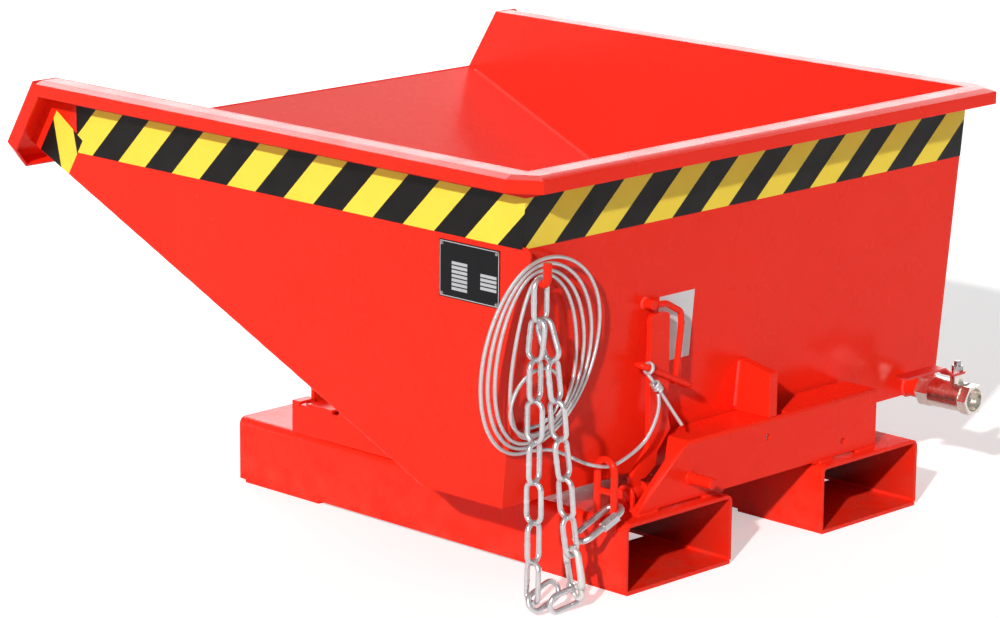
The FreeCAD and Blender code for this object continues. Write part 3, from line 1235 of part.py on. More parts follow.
def make_valve_nut():
    body = named("PartDesign::Body", "valve_nut")
    low = "boss_rise + seat_gap + valve_lever_sheet"
    pad(body, "XY_Plane", low, f"{low} + nut_height", [hexagon("0", "0", "nut_flats")],
        [("0", "0", "stem_diameter / 2")])
    place(body, "drain_side", "stem_y", "drain_rise")
    return body


def octagon_at(radius, out):
    """Corners of the chain wire's eight-sided section, at a distance from the axis that it turns round."""
    return [(f"{out} + ({radius}) * cos({45 * step + 22.5})", f"({radius}) * sin({45 * step + 22.5})")
            for step in range(8)]


def make_chain_link():
    """One link of eight-sided wire: two half turns and two straights, long axis up, face to the rear."""
    body = doc.addObject("PartDesign::Body", "chain_link")
    arm, straight = "(chain_width - chain_wire) / 2", "(chain_pitch + chain_wire - chain_width + chain_wire) / 2"
    section = octagon_at("chain_wire / 2", arm)
    # The straights are padded along Z, then each end is turned half round about the link's Y axis.
    low = f"-({straight})"
    for side in (1, -1):
        pad(body, "XY_Plane", low, straight, [[(f"{side} * ({u})", v) for u, v in section]])
        if side == 1:
            for end in (1, -1):
                sketch = sketch_on(body, "XY_Plane", f"{end} * ({straight})", [section])
                turn = body.newObject("PartDesign::Revolution", "link_end")
                turn.Profile = sketch
                turn.ReferenceAxis = (sketch, ["V_Axis"])
                turn.Angle = 180
                turn.Reversed = end == 1
    return body


# Where each chain link hangs: its middle across, along and below the hook's rod in shares of the
# link's inner length, the slopes of its long axis to the side and to the front, and its turn in degrees
CHAIN_SHARES = (
    (0.0000, 0.5306, 0.3939, 0.000, 0.000, 0.0),
    (-0.0785, 0.5610, 1.3267, 0.014, -0.108, 86.3),
    (-0.0816, 0.5955, 2.3225, 0.001, 0.009, -6.5),
    (-0.0817, 0.5900, 3.3141, -0.003, -0.002, 82.3),
    (-0.0814, 0.5930, 4.3049, 0.008, -0.000, -9.4),
    (-0.0820, 0.5905, 5.2950, -0.000, 0.013, 84.0),
    (-0.0809, 0.5942, 6.2837, -0.017, -0.014, -3.8),
    (-0.1032, 0.5867, 7.2600, 0.055, 0.032, 97.1),
    (0.1442, 0.4593, 7.6262, 3.193, 0.076, 57.3),
    (0.5931, 0.1551, 7.7451, 7.488, -0.582, -20.4),
    (0.0839, 0.3424, 1.3103, -0.029, 0.372, 84.6),
    (0.1262, 0.1679, 2.2826, -0.081, 0.065, -11.2),
    (0.2641, 0.1610, 3.2633, -0.175, -0.057, 83.6),
    (0.4284, 0.1642, 4.2406, -0.144, 0.028, -4.3),
    (0.5695, 0.1629, 5.2202, -0.138, -0.028, 90.0),
    (0.7153, 0.1634, 6.1965, -0.185, 0.006, -6.3),
)
SNAP_SHARES = (0.8743, 0.1238, 7.1533, -0.071, 0.154, 92.5)


def hung(shares):
    """A place in the chain, from its row of shares."""
    across, along, down, slope_side, slope_front, turn = shares
    upright = FreeCAD.Vector(slope_side, slope_front, 1).normalize()
    facing = FreeCAD.Vector(math.sin(math.radians(turn)), math.cos(math.radians(turn)), 0)
    facing = (facing - upright * facing.dot(upright)).normalize()
    turned_to = FreeCAD.Rotation(facing.cross(upright), facing, upright, "ZYX")
    middle = spot(f"-hook_tip_side + {across} * chain_pitch", f"{along} * chain_pitch",
                  f"hook_rise - {down} * chain_pitch")
    return FreeCAD.Placement(middle, turned_to)


def place_in_chain(thing, shares):
    across, along, down = shares[:3]
    turn = hung(shares).Rotation
    place(thing, f"-hook_tip_side + {across} * chain_pitch", f"{along} * chain_pitch",
          f"hook_rise - {down} * chain_pitch", turn.Axis, math.degrees(turn.Angle))


def make_safety_chain():
    """Copies of one link, hung on the cable hook and through each other."""
    link = make_chain_link()
    doc.recompute()
    links = []
    for shares in CHAIN_SHARES:
        copy = link.Shape.copy()
        copy.Placement = hung(shares)
        links.append(copy)
    return set_shape("safety_chain", Part.makeCompound(links))


def make_snap_hook():
    """A long eye of round wire with a gap and a slot for its gate, long axis up."""
    arm = "(snap_width - snap_wire) / 2"
    straight = f"(snap_length / 2 - snap_wire / 2 - {arm})"
    wire = "snap_wire / 2"
    low_end = "snap_gate_low - snap_slot_depth / 2"
    pieces = []
    for name, turn, level in (("snap_top", 90, straight), ("snap_bottom", -90, f"-{straight}")):
        end = solid("Part::Torus", name, (1, 0, 0), turn, ("0", "0", level), Radius1=arm, Radius2=wire)
        end.Angle3 = 180
        pieces.append(end)
    pieces += [
        solid("Part::Cylinder", "snap_back", at=(arm, "0", f"-{straight}"), Radius=wire, Height=f"2 * {straight}"),
        solid("Part::Cylinder", "snap_arm_low", at=(f"-{arm}", "0", f"-{straight}"), Radius=wire,
              Height=f"{straight} - ({low_end})"),
        solid("Part::Cylinder", "snap_arm_high", at=(f"-{arm}", "0", "snap_gate_high"), Radius=wire,
              Height=f"{straight} - snap_gate_high"),
    ]
    eye = named("Part::MultiFuse", "snap_eye")
    eye.Shapes = pieces
    slot = solid("Part::Box", "snap_slot", at=(
        f"-{arm} - snap_wire", "-snap_slot_width / 2", "-snap_gate_low - snap_slot_depth / 2"),
        Length="2 * snap_wire", Width="snap_slot_width", Height="snap_slot_depth + overrun / 4")
    bore = solid("Part::Cylinder", "snap_bore", (1, 0, 0), 90, (f"-{arm}", "snap_wire", "-snap_gate_low"),
                 Radius="snap_pin / 2", Height="2 * snap_wire")
    hook = named("Part::Cut", "snap_hook")
    hook.Base, hook.Tool = eye, named("Part::MultiFuse", "snap_cuts")
    hook.Tool.Shapes = [slot, bore]
    place_in_chain(hook, SNAP_SHARES)
    return hook


def make_snap_gate():
    """A flat bar, rounded at its pin, that closes the snap hook."""
    body = named("PartDesign::Body", "snap_gate")
    arm, half = "-(snap_width - snap_wire) / 2", "snap_gate_width / 2"
    high, low = "snap_gate_high - close_gap", "-snap_gate_low"
    pad(body, "XZ_Plane", "-snap_gate_sheet / 2", "snap_gate_sheet / 2", [[
        (f"{arm} + {half}", low), (f"{arm} + {half}", high), (f"{arm} - {half}", high),
        (f"{arm} - {half}", low, half, 1), (arm, f"{low} - {half}", half, 1)]],
        [(arm, low, "snap_pin / 2 + pin_gap")])
    place_in_chain(body, SNAP_SHARES)
    return body


def make_snap_gate_pin():
    pin = solid("Part::Cylinder", "snap_pin_round", (1, 0, 0), 90,
                ("-(snap_width - snap_wire) / 2", "snap_wire / 2", "-snap_gate_low"),
                Radius="snap_pin / 2", Height="snap_wire")
    piece = named("Part::Compound", "snap_gate_pin")
    piece.Links = [pin]
    place_in_chain(piece, SNAP_SHARES)
    return piece


# Where the wound rope turns: shares of coil_size right of and above the hook's rod, then its heading
# in degrees. Each pair is joined by two tangent arcs.
COIL_SHARES = (
    (0.0800, -1.0693, 180), (-0.3690, -0.4697, 90), (0.0705, 0.1390, 0),
    (0.6225, -0.4009, -90), (0.1050, -1.0425, 180), (-0.3025, -0.4737, 90),
    (0.0465, 0.1042, 0), (0.5655, -0.4965, -90), (0.1050, -1.0137, 180),
    (-0.2550, -0.4753, 90), (0.0295, 0.0672, 0), (0.5005, -0.5632, -90),
    (0.1090, -0.9829, 180), (-0.1970, -0.5248, 90), (0.0355, 0.0384, 0),
    (0.4525, -0.6128, -90), (0.1160, -0.9520, 180), (-0.1080, -0.7604, 90),
    (0.1250, -0.5663, 0), (0.3500, -0.7432, -90), (0.1440, -0.9166, 180),
)
# The rope's free stretch, from the knot to the coil: shares of half_bucket, beam_front and bucket_top
RUN_SHARES = (
    (0.46, 0.436, 0.4076), (0.4893, 0.3857, 0.3699), (0.5242, 0.3929, 0.3337), (0.5728, 0.4071, 0.3124),
    (0.6425, 0.4214, 0.2941), (0.6866, 0.4286, 0.2928), (0.7436, 0.5429, 0.3044), (0.7782, 0.7143, 0.3211),
)


def coil_point(shares):
    return FreeCAD.Vector(value(f"-hook_tip_side + {shares[0]} * coil_size"), 0,
                          value(f"{shares[1]} * coil_size"))


def heading(angle):
    return FreeCAD.Vector(math.cos(math.radians(angle)), 0, math.sin(math.radians(angle)))


def arc_edge(start, direction, stop):
    """The arc that leaves a point in a direction and ends at another point."""
    chord = stop - start
    side = chord.cross(direction).cross(chord).normalize()
    lean = direction.getAngle(chord)
    bulge = chord.Length / 2 * math.tan(lean / 2)
    return Part.Arc(start, (start + stop) * 0.5 + side * bulge, stop).toShape()


def coil_edges():
    edges = []
    for here, there in zip(COIL_SHARES, COIL_SHARES[1:]):
        start, stop = coil_point(here), coil_point(there)
        leave, arrive = heading(here[2]), heading(there[2])
        chord, both = stop - start, leave + arrive
        square = 2 * (1 - leave.dot(arrive))
        reach = (math.sqrt(chord.dot(both) ** 2 + square * chord.dot(chord)) - chord.dot(both)) / square
        ahead, behind = start + leave * reach, stop - arrive * reach
        join = (ahead + behind) * 0.5
        edges += [arc_edge(start, leave, join), arc_edge(join, (behind - ahead).normalize(), stop)]
    return edges


def least_self_gap(edges, wire, apart):
    """The least gap between turns, measured on points of the path that are well apart along it."""
    points, along, travelled = [], [], 0
    for edge in edges:
        count = max(4, int(edge.Length / 4))
        ends = (edge.FirstParameter, edge.LastParameter)
        for step in range(count):
            points.append(edge.valueAt(ends[0] + (ends[1] - ends[0]) * step / count))
            along.append(travelled + edge.Length * step / count)
        travelled += edge.Length
    shape = [Part.Wire(edges[first:first + 1]) for first in range(len(edges))]
    least = apart
    for index, point in enumerate(points):
        begun = 0
        for edge in shape:
            if min(abs(begun - along[index]), abs(begun + edge.Length - along[index])) > apart:
                if not begun <= along[index] <= begun + edge.Length:
                    gap = edge.distToShape(Part.Vertex(point))[0] - wire
                    least = min(least, gap)
            begun += edge.Length
    return least


def make_cable_coil():
    """One unbroken rope, wound in nested turns that hang on the hook and lean on the wall."""
    path = Part.Wire(coil_edges())
    rope = swept_round(path, value("cable_wire / 2"))
    gap = least_self_gap(coil_edges(), value("cable_wire"), 12 * value("cable_wire"))
    print(f"cable_coil: rope {path.Length:.0f} mm, least gap to itself {gap:.2f} mm")
    check_rope("cable_coil", rope, path)
    coil = named("Part::Feature", "cable_coil")
    coil.Shape = rope
    place_coil(coil, "0")
    return coil


def place_coil(thing, across):
    place(thing, across, "coil_y", "hook_rise", (1, 0, 0), value("coil_lean"))


def check_rope(name, rope, path):
    """A rope's solid has the volume that its length and its thickness give."""
    expected = path.Length * math.pi * value("cable_wire / 2") ** 2
    if abs(rope.Volume / expected - 1) > 0.01:
        raise RuntimeError(f"{name}: the rope's volume is {rope.Volume:.0f}, not {expected:.0f}")


def make_cable_ferrule():
    """A ferrule pressed on the rope's end."""
    piece = named("Part::Compound", "cable_ferrule")
    end = COIL_SHARES[-1]
    piece.Links = [solid("Part::Cylinder", "ferrule_round", (0, 1, 0), -90,
                         (f"-hook_tip_side + {end[0]} * coil_size", "0", f"{end[1]} * coil_size"),
                         Radius="ferrule_diameter / 2", Height="ferrule_length")]
    place_coil(piece, "0")
    return piece


def run_points():
    points = [spot(f"-half_bucket * {across}", f"beam_front * {along}", f"bucket_top * {up}")
              for across, along, up in RUN_SHARES]
    lean = FreeCAD.Rotation(FreeCAD.Vector(1, 0, 0), value("coil_lean"))
    begin = lean.multVec(coil_point(COIL_SHARES[0])) + spot("0", "coil_y", "hook_rise")
    before = begin - heading(COIL_SHARES[0][2]) * value("coil_entry")
    return [knot_end()] + points + [before, begin]


TAIL_SLOPES = (0.716, -0.133, -1)


def knot_middle():
    return spot("-knot_side", "lever_rear - knot_diameter / 2", "knot_rise")


def knot_end():
    """Where the rope leaves the knot, face to face with it."""
    middle = knot_middle()
    across, along, up = RUN_SHARES[0]
    towards = spot(f"-half_bucket * {across}", f"beam_front * {along}", f"bucket_top * {up}") - middle
    return middle + towards.normalize() * value("knot_diameter / 2 + cable_wire / 2")


def make_cable_run():
    """The rope's free stretch: straight runs joined by tangent arcs."""
    points = run_points()
    edges = []
    last = points[0]
    radii = []
    for before, corner, after in zip(points, points[1:], points[2:]):
        inward, outward = (before - corner), (after - corner)
        reach = 0.45 * min(inward.Length, outward.Length)
        half = inward.getAngle(outward) / 2
        radii.append(reach * math.tan(half))
        start, stop = corner + inward.normalize() * reach, corner + outward.normalize() * reach
        towards = (inward + outward).normalize()
        bulge = corner + towards * (radii[-1] / math.sin(half) - radii[-1])
        edges += [Part.LineSegment(last, start).toShape(), Part.Arc(start, bulge, stop).toShape()]
        last = stop
    edges.append(Part.LineSegment(last, points[-1]).toShape())
    path = Part.Wire(edges)
    rope = swept_round(path, value("cable_wire / 2"))
    longest = max((after - before).Length for before, after in zip(points, points[1:]))
    print(f"cable_run: rope {path.Length:.0f} mm, least bend {min(radii):.1f} mm, longest run {longest:.0f} mm")
    print("cable_run bends", [round(radius) for radius in radii])
    check_rope("cable_run", rope, path)
    return set_shape("cable_run", rope)


def rope_piece(start, stop):
    span = stop - start
    return Part.makeCylinder(value("cable_wire / 2"), span.Length, start, span)


def make_cable_knot():
    """A knot against the lever's bar, tied by a short eye round the handle's ring."""
    middle = knot_middle()
    ends = [spot(f"-lever_side + {across} * lever_width", "lever_mid_y", f"ring_z + {up} * (handle_top - ring_z)")
            for across, up in RING_SHARES]
    along = (ends[1] - ends[0]).normalize()
    ring_side = FreeCAD.Vector(0, value("lever_sheet / 2 + handle_wire / 2"), 0)
    centre = ends[0] + along * value("eye_setback") - ring_side
    radius = value("handle_wire / 2 + cable_wire / 2 + seat_gap")
    eye = Part.makeTorus(radius, value("cable_wire / 2"), centre, along)
    down = FreeCAD.Vector(0, 1, 0).cross(along).normalize()
    if down.z > 0:
        down = down * -1
    knot = Part.makeSphere(value("knot_diameter / 2"), middle)
    return set_shape("cable_knot", eye.fuse([
        rope_piece(centre + down * radius, middle), knot, rope_piece(middle, knot_end())]))


def make_cable_tail():
    """The rope's loose end below the knot."""
    middle = knot_middle()
    stop = middle + FreeCAD.Vector(*TAIL_SLOPES).normalize() * value("tail_length")
    start = middle + FreeCAD.Vector(*TAIL_SLOPES).normalize() * value("knot_diameter / 2")
    tail = rope_piece(start, stop).cut(Part.makeSphere(value("knot_diameter / 2"), middle))
    return set_shape("cable_tail", tail)



CUTTING = ("PartDesign::Pocket", "PartDesign::Groove", "PartDesign::SubtractiveLoft", "PartDesign::LinearPattern",
           "PartDesign::Chamfer", "Part::Cut")
ADDING = ("PartDesign::Pad", "PartDesign::Revolution", "PartDesign::AdditiveLoft", "PartDesign::PolarPattern")


def volume_before(thing):
    """The volume of what a feature works on, or None where it begins a shape."""
    base = thing.Base if thing.TypeId == "Part::Cut" else getattr(thing, "BaseFeature", None)
    return base.Shape.Volume if base else None


# Every piece

left_pocket = make_fork_pocket()
left_rail = make_rail()
left_collar = make_shaft_collar()
left_wall = make_side_wall()
left_rocker = make_rocker()
left_tape = make_tape_side()
left_front_tape = make_tape_front()
seat_near, seat_far = "ball_seat + seat_gap", "ball_seat + seat_gap + seat_sheet"

NODES = [
    left_pocket, mirrored("fork_pocket_right", left_pocket), make_floor_straps(),
    left_rail, mirrored("rail_right", left_rail), make_front_crossmember(), make_rear_crossbeam(),
    make_stub_pin(), make_guide_loop(), make_quick_link(), make_quick_link_sleeve(), make_lever_bracket(),
    make_lever_pivot(), make_lock_lever(), make_latch_handle(), make_rocker_shaft(), left_collar,
    mirrored("shaft_collar_right", left_collar), left_wall, mirrored("side_wall_right", left_wall),
    make_rear_wall(), make_chute_floor(), make_bucket_rim(), make_mouth_frame(), left_rocker,
    mirrored("rocker_right", left_rocker), make_stop_lug(), make_keeper_pin(), make_cable_hook(),
    left_tape, mirrored("tape_right", left_tape), make_tape_rear(), left_front_tape,
    mirrored("tape_front_right", left_front_tape), make_paper_label(), make_data_plate(), make_plate_rivets(),
    make_drain_pipe(), make_valve_body(), make_valve_end(),
    make_valve_seat("valve_seat_front", f"stem_y + {seat_near}", f"stem_y + {seat_far}"),
    make_valve_seat("valve_seat_rear", f"stem_y - ({seat_far})", f"stem_y - ({seat_near})"),
    make_valve_ball(), make_valve_stem(), make_valve_lever(), make_valve_nut(), make_safety_chain(),
    make_snap_hook(), make_snap_gate(), make_snap_gate_pin(), make_cable_coil(), make_cable_ferrule(),
    make_cable_run(), make_cable_knot(), make_cable_tail(),
]
doc.recompute()

for thing in doc.Objects:
    if "Invalid" in thing.State or "Error" in thing.State:
        raise RuntimeError(f"{thing.Name} ({thing.TypeId}) didn't recompute: {thing.State}")

for thing in doc.Objects:
    before = volume_before(thing)
    if before is None:
        continue
    if thing.TypeId in CUTTING and thing.Shape.Volume >= before:
        raise RuntimeError(f"{thing.Name} ({thing.TypeId}) removed nothing")
    if thing.TypeId in ADDING and thing.Shape.Volume <= before:
        raise RuntimeError(f"{thing.Name} ({thing.TypeId}) added nothing")

names = [node.Label for node in NODES]
if len(set(names)) != len(names):
    raise RuntimeError("two pieces share a name")

os.makedirs(OUT_DIR, exist_ok=True)
for node in NODES:
    shape = node.Shape
    if shape.isNull() or not shape.isValid() or not shape.Solids or shape.Volume <= 0:
        raise RuntimeError(f"{node.Label}: its shape isn't a valid solid")
    shape.exportStep(os.path.join(OUT_DIR, f"{node.Label}.step"))
    box = shape.BoundBox
    print(f"{node.Label}: {len(shape.Solids)} solid, {shape.Volume / 1000:.1f} cm3,"
          f" X {box.XMin:.1f} to {box.XMax:.1f}, Y {box.YMin:.1f} to {box.YMax:.1f},"
          f" Z {box.ZMin:.1f} to {box.ZMax:.1f}")
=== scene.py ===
import json
import math

import bpy
from mathutils import Matrix, Vector


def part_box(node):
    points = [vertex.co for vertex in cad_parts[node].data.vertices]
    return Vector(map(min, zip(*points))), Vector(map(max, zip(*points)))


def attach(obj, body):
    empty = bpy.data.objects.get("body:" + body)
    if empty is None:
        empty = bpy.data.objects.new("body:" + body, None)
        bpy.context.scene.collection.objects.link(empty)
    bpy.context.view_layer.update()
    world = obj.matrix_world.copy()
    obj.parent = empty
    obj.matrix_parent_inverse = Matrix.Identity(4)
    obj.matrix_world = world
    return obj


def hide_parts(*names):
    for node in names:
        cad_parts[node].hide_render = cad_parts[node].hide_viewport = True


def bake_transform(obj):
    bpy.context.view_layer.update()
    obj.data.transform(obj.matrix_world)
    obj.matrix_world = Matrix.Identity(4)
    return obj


# The dressed look of the self dumping hopper. Everything is in metres, in the frame of the packed
# model: +Z up, +Y towards the mouth, +X to the right seen from behind, floor at Z 0.

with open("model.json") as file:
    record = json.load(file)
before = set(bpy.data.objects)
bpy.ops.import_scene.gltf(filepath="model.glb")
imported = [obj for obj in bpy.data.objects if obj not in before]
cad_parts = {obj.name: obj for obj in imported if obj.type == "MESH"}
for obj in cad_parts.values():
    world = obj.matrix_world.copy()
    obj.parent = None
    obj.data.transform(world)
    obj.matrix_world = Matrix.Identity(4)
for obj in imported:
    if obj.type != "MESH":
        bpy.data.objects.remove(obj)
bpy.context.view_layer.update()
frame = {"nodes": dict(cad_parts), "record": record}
NODES = frame["nodes"]

# The hopper's sizes. Y counts from the pockets' rear ends, which lie MIDDLE behind the origin.
MIDDLE = 0.464723
BUCKET_TOP, BUCKET_BOTTOM = 0.525, 0.119
HALF_BUCKET, SHEET = 0.4075, 0.003
REAR_TOP, REAR_BOTTOM = 0.041, 0.078
FLAT_FRONT, CHUTE_SLOPE = 0.208, math.tan(math.radians(23.37))
MOUTH_FOOT, MOUTH_HEAD = (0.9407, 0.4356), (0.8847, BUCKET_TOP)
POCKET_TOP = 0.088
PITCH, HOOK_X, HOOK_Z = 0.049, -0.401, 0.396
ROPE = 0.0045


def spot(x, y, z):
    """A point whose Y counts from the pockets' rear ends, as the part's sizes do."""
    return Vector((x, y - MIDDLE, z))


def wall_y(z):
    """The rear wall's outer face, counted from the pockets' rear ends."""
    return REAR_TOP + (REAR_BOTTOM - REAR_TOP) * (BUCKET_TOP - z) / (BUCKET_TOP - BUCKET_BOTTOM)


def chute_z(y):
    """The chute's underside above the floor."""
    return BUCKET_BOTTOM + CHUTE_SLOPE * max(0, y - FLAT_FRONT)


def half_turn(steps):
    return [math.pi * step / steps for step in range(steps + 1)]


def full_turn(steps):
    return [2 * math.pi * step / steps for step in range(steps)]


# Node trees

class Tree:
    """Calls that add linked nodes to a node tree."""

    def __init__(self, tree, coordinates):
        self.nodes, self.links = tree.nodes, tree.links
        self.where = self.nodes.new("ShaderNodeTexCoord").outputs[coordinates]

    def put(self, socket, content):
        if isinstance(content, bpy.types.NodeSocket):
            self.links.new(content, socket)
        else:
            socket.default_value = content

    def node(self, kind, settings=(), **inputs):
        """A node. An input is named with _ for its spaces, or by its number after an i."""
        node = self.nodes.new(kind)
        for name, content in dict(settings).items():
            setattr(node, name, content)
        for name, content in inputs.items():
            key = int(name[1:]) if name[0] == "i" and name[1:].isdigit() else name.replace("_", " ")
            self.put(node.inputs[key], content)
        return node

    def noise(self, scale, detail=3):
        return self.node("ShaderNodeTexNoise", Vector=self.where, Scale=scale, Detail=detail,
                         Roughness=0.55).outputs["Fac"]

    def ramp(self, content, low, high, out_low=0.0, out_high=1.0):
        return self.node("ShaderNodeMapRange", i0=content, i1=low, i2=high, i3=out_low,
                         i4=out_high).outputs[0]

    def math(self, operation, *content):
        inputs = {f"i{index}": one for index, one in enumerate(content)}
        return self.node("ShaderNodeMath", {"operation": operation}, **inputs).outputs[0]

    def near(self, place, middle, half):
        """1 where place lies less than half from middle, and 0 elsewhere."""
        return self.math("LESS_THAN", self.math("ABSOLUTE", self.math("SUBTRACT", place, middle)), half)

    def mix(self, share, first, second):
        mixer = self.node("ShaderNodeMix", {"data_type": "RGBA"}, i0=share)
        for socket, colour in zip((mixer.inputs[6], mixer.inputs[7]), (first, second)):
            self.put(socket, colour + (1,) if isinstance(colour, tuple) else colour)
        return mixer.outputs[2]

    def axes(self):
        return self.node("ShaderNodeSeparateXYZ", i0=self.where).outputs

    def bump(self, height, distance, strength, normal=None):
        node = self.node("ShaderNodeBump", Strength=strength, Distance=distance, Height=height)
        if normal:
            self.put(node.inputs["Normal"], normal)
        return node.outputs[0]


class Shader(Tree):
    """A material's node tree, which ends in one Principled shader."""

    def __init__(self, name):
        self.material = bpy.data.materials.new(name)
        self.material.use_nodes = True
        super().__init__(self.material.node_tree, "Object")
        self.end = self.nodes["Principled BSDF"]

    def finish(self, **inputs):
        for name, content in inputs.items():
            socket = self.end.inputs[name.replace("_", " ")]
            self.put(socket, content + (1,) if isinstance(content, tuple) else content)
        return self.material


# Camera, floor and light

# The camera that was fitted to the photograph: its place, and in degrees its heading from +X towards
# +Y, how far it looks down, and its roll
CAMERA_PLACE, LENS, SENSOR = (-3.390915, -2.822607, 1.355864), 133.752, 36
HEADING, FALL, ROLL = 44.2507, 13.4749, 0.4932

AIM = Vector((0, 0, 0.25))                       # what the lamps look at
FLOOR_REACH = 30
PAPER_GLOW = 0.46                                # makes the floor white to the camera
SKY, SKY_LOW, SKY_GLOW = 0.19, 0.40, 3.2         # soft light, and what metal mirrors around and ahead
PAST_MOUTH = Vector((0.70, 0.68, 0.26)).normalized()


def make_camera():
    camera = bpy.data.objects.new("camera", bpy.data.cameras.new("camera"))
    bpy.context.scene.collection.objects.link(camera)
    turn = (Matrix.Rotation(math.radians(HEADING - 90), 4, "Z")
            @ Matrix.Rotation(math.radians(90 - FALL), 4, "X")
            @ Matrix.Rotation(math.radians(ROLL), 4, "Z"))
    camera.matrix_world = Matrix.Translation(spot(*CAMERA_PLACE)) @ turn
    camera.data.lens, camera.data.sensor_width, camera.data.sensor_fit = LENS, SENSOR, "HORIZONTAL"
    camera.data.clip_start, camera.data.clip_end = 0.1, 60
    bpy.context.scene.camera = camera


def make_light(name, kind, place, strength, colour=(1, 1, 1)):
    """A lamp that looks at the hopper's middle."""
    light = bpy.data.objects.new(name, bpy.data.lights.new(name, kind))
    bpy.context.scene.collection.objects.link(light)
    light.location = place
    light.rotation_mode = "QUATERNION"
    light.rotation_quaternion = (AIM - Vector(place)).to_track_quat("-Z", "Y")
    light.data.energy, light.data.color = strength, colour
    return light.data


def sky_strength(tree):
    """White behind the hopper, a plain soft light on it, and a bright low sky past its mouth in
    reflections."""
    sky = Tree(tree, "Generated")
    towards = sky.node("ShaderNodeVectorMath", {"operation": "DOT_PRODUCT"}, i0=sky.where, i1=PAST_MOUTH)
    glow = sky.ramp(towards.outputs["Value"], 0.82, 0.97, SKY_LOW - SKY, SKY_GLOW - SKY)
    ray = sky.node("ShaderNodeLightPath").outputs
    shiny = sky.math("MULTIPLY_ADD", ray["Is Glossy Ray"], glow, SKY)
    return sky.math("MULTIPLY_ADD", ray["Is Camera Ray"], 1 - SKY, shiny)


def floor_paper():
    shader = Shader("floor_paper")
    tone = shader.mix(shader.noise(4), (0.90, 0.90, 0.90), (0.94, 0.94, 0.94))
    ray = shader.node("ShaderNodeLightPath").outputs
    mirrored = shader.math("MAXIMUM", ray["Is Glossy Ray"], ray["Is Transmission Ray"])
    seen = shader.math("MAXIMUM", ray["Is Camera Ray"], mirrored)
    return shader.finish(Base_Color=tone, Roughness=0.9, Normal=shader.bump(shader.noise(300), 0.0002, 0.2),
                         Emission_Color=(1.0, 1.0, 1.0),
                         Emission_Strength=shader.math("MULTIPLY", seen, PAPER_GLOW))


def make_stage():
    world = bpy.data.worlds.new("studio")
    bpy.context.scene.world = world
    world.use_nodes = True
    background = world.node_tree.nodes["Background"].inputs
    world.node_tree.links.new(sky_strength(world.node_tree), background["Strength"])
    background["Color"].default_value = (1, 1, 1, 1)
    bpy.context.scene.view_settings.view_transform = "Standard"
    mesh = bpy.data.meshes.new("floor")
    corners = [(x * FLOOR_REACH, y * FLOOR_REACH, 0) for x, y in ((-1, -1), (1, -1), (1, 1), (-1, 1))]
    mesh.from_pydata(corners, [], [(0, 1, 2, 3)])
    floor = bpy.data.objects.new("floor", mesh)
    bpy.context.scene.collection.objects.link(floor)
    floor.data.materials.append(floor_paper())
    key = make_light("key", "SUN", (-7.6, -3.9, 4.65), 3.05, (1, 0.985, 0.965))
    key.angle = 0.03
    fill = make_light("fill", "AREA", (1.8, -3.4, 2.2), 3)
    front = make_light("front", "AREA", (1.2, 3.6, 2.6), 36)
    for lamp in (fill, front):
        lamp.shape, lamp.size = "DISK", 2.4


# Materials

RED, RED_LIGHT, RED_SPECK = (0.890, 0.0200, 0.0065), (0.960, 0.0270, 0.0090), (0.62, 0.010, 0.005)
# Dust low on the base, and the dark red of the painted shade deep inside the fork pockets
DUST, POCKET_SHADE = (0.50, 0.09, 0.06), (0.120, 0.006, 0.003)
TAPE_YELLOW, TAPE_YELLOW_LIGHT = (0.93, 0.700, 0.055), (0.98, 0.780, 0.085)
TAPE_BLACK, TAPE_BLACK_LIGHT = (0.0050, 0.0040, 0.0040), (0.0100, 0.0085, 0.0085)
DUST_TOP = 0.10

# The hollow of a fork pocket: its middle and half width across, its middle and half height, and the
# stretch along Y over which its painted shade deepens
HOLLOW_X, HOLLOW_HALF_WIDTH, HOLLOW_Z, HOLLOW_HALF_HEIGHT = 0.181, 0.0915, 0.0465, 0.0373
SHADE_START, SHADE_END = 0.006, 0.150

# Each tape's direction across its stripes, where they start, their pitch, and yellow's share of it
FRONT_LEAN = 0.227
SIDE_STRIPES = ((0, 1, 1), 0.67958, 0.1038, 0.503)
REAR_STRIPES = ((1, 0, -1), -0.7358, 0.1018, 0.492)
FRONT_STRIPES = ((0, math.cos(FRONT_LEAN), -math.sin(FRONT_LEAN)), 0.2742, 0.0734, 0.50)
TAPES = {"tape_left": SIDE_STRIPES, "tape_right": SIDE_STRIPES, "tape_rear": REAR_STRIPES,
         "tape_front_left": FRONT_STRIPES, "tape_front_right": FRONT_STRIPES}


def red_paint(name, dust=0.0, painted_sheen=0.0, pocket=False):
    """Glossy enamel on sheet steel: slight waves of the sheet, fine orange peel, faint dust low down.

    In a fork pocket the red darkens deeper inside: a painted shade."""
    shader = Shader(name)
    # Extra green and blue pale the red: a painted sheen of bright sky and sun on lit inner faces
    reds = [(red, green + painted_sheen, blue + painted_sheen) for red, green, blue in (RED, RED_LIGHT)]
    tone = shader.mix(shader.noise(5, 4), *reds)
    speck = shader.ramp(shader.noise(260, 2), 0.66, 0.74)
    tone = shader.mix(shader.math("MULTIPLY", speck, 0.12), tone, RED_SPECK)
    if dust:
        low = shader.ramp(shader.axes()[2], DUST_TOP, 0.0, 0.0, dust)
        patchy = shader.math("MULTIPLY", low, shader.ramp(shader.noise(38, 5), 0.38, 0.68))
        tone = shader.mix(patchy, tone, DUST)
    # Painted shade: the red darkens deeper inside a fork pocket
    if pocket:
        tone = shader.mix(pocket_shade(shader), tone, POCKET_SHADE)
    rough = shader.ramp(shader.noise(16, 4), 0.3, 0.7, 0.20, 0.33)
    waves = shader.bump(shader.noise(6, 1), 0.003, 0.25)
    peel = shader.bump(shader.noise(420, 2), 0.00008, 0.25, waves)
    return shader.finish(Base_Color=tone, Roughness=rough, Normal=peel, Coat_Weight=0.05,
                         Coat_Roughness=0.08, Specular_IOR_Level=0.10)


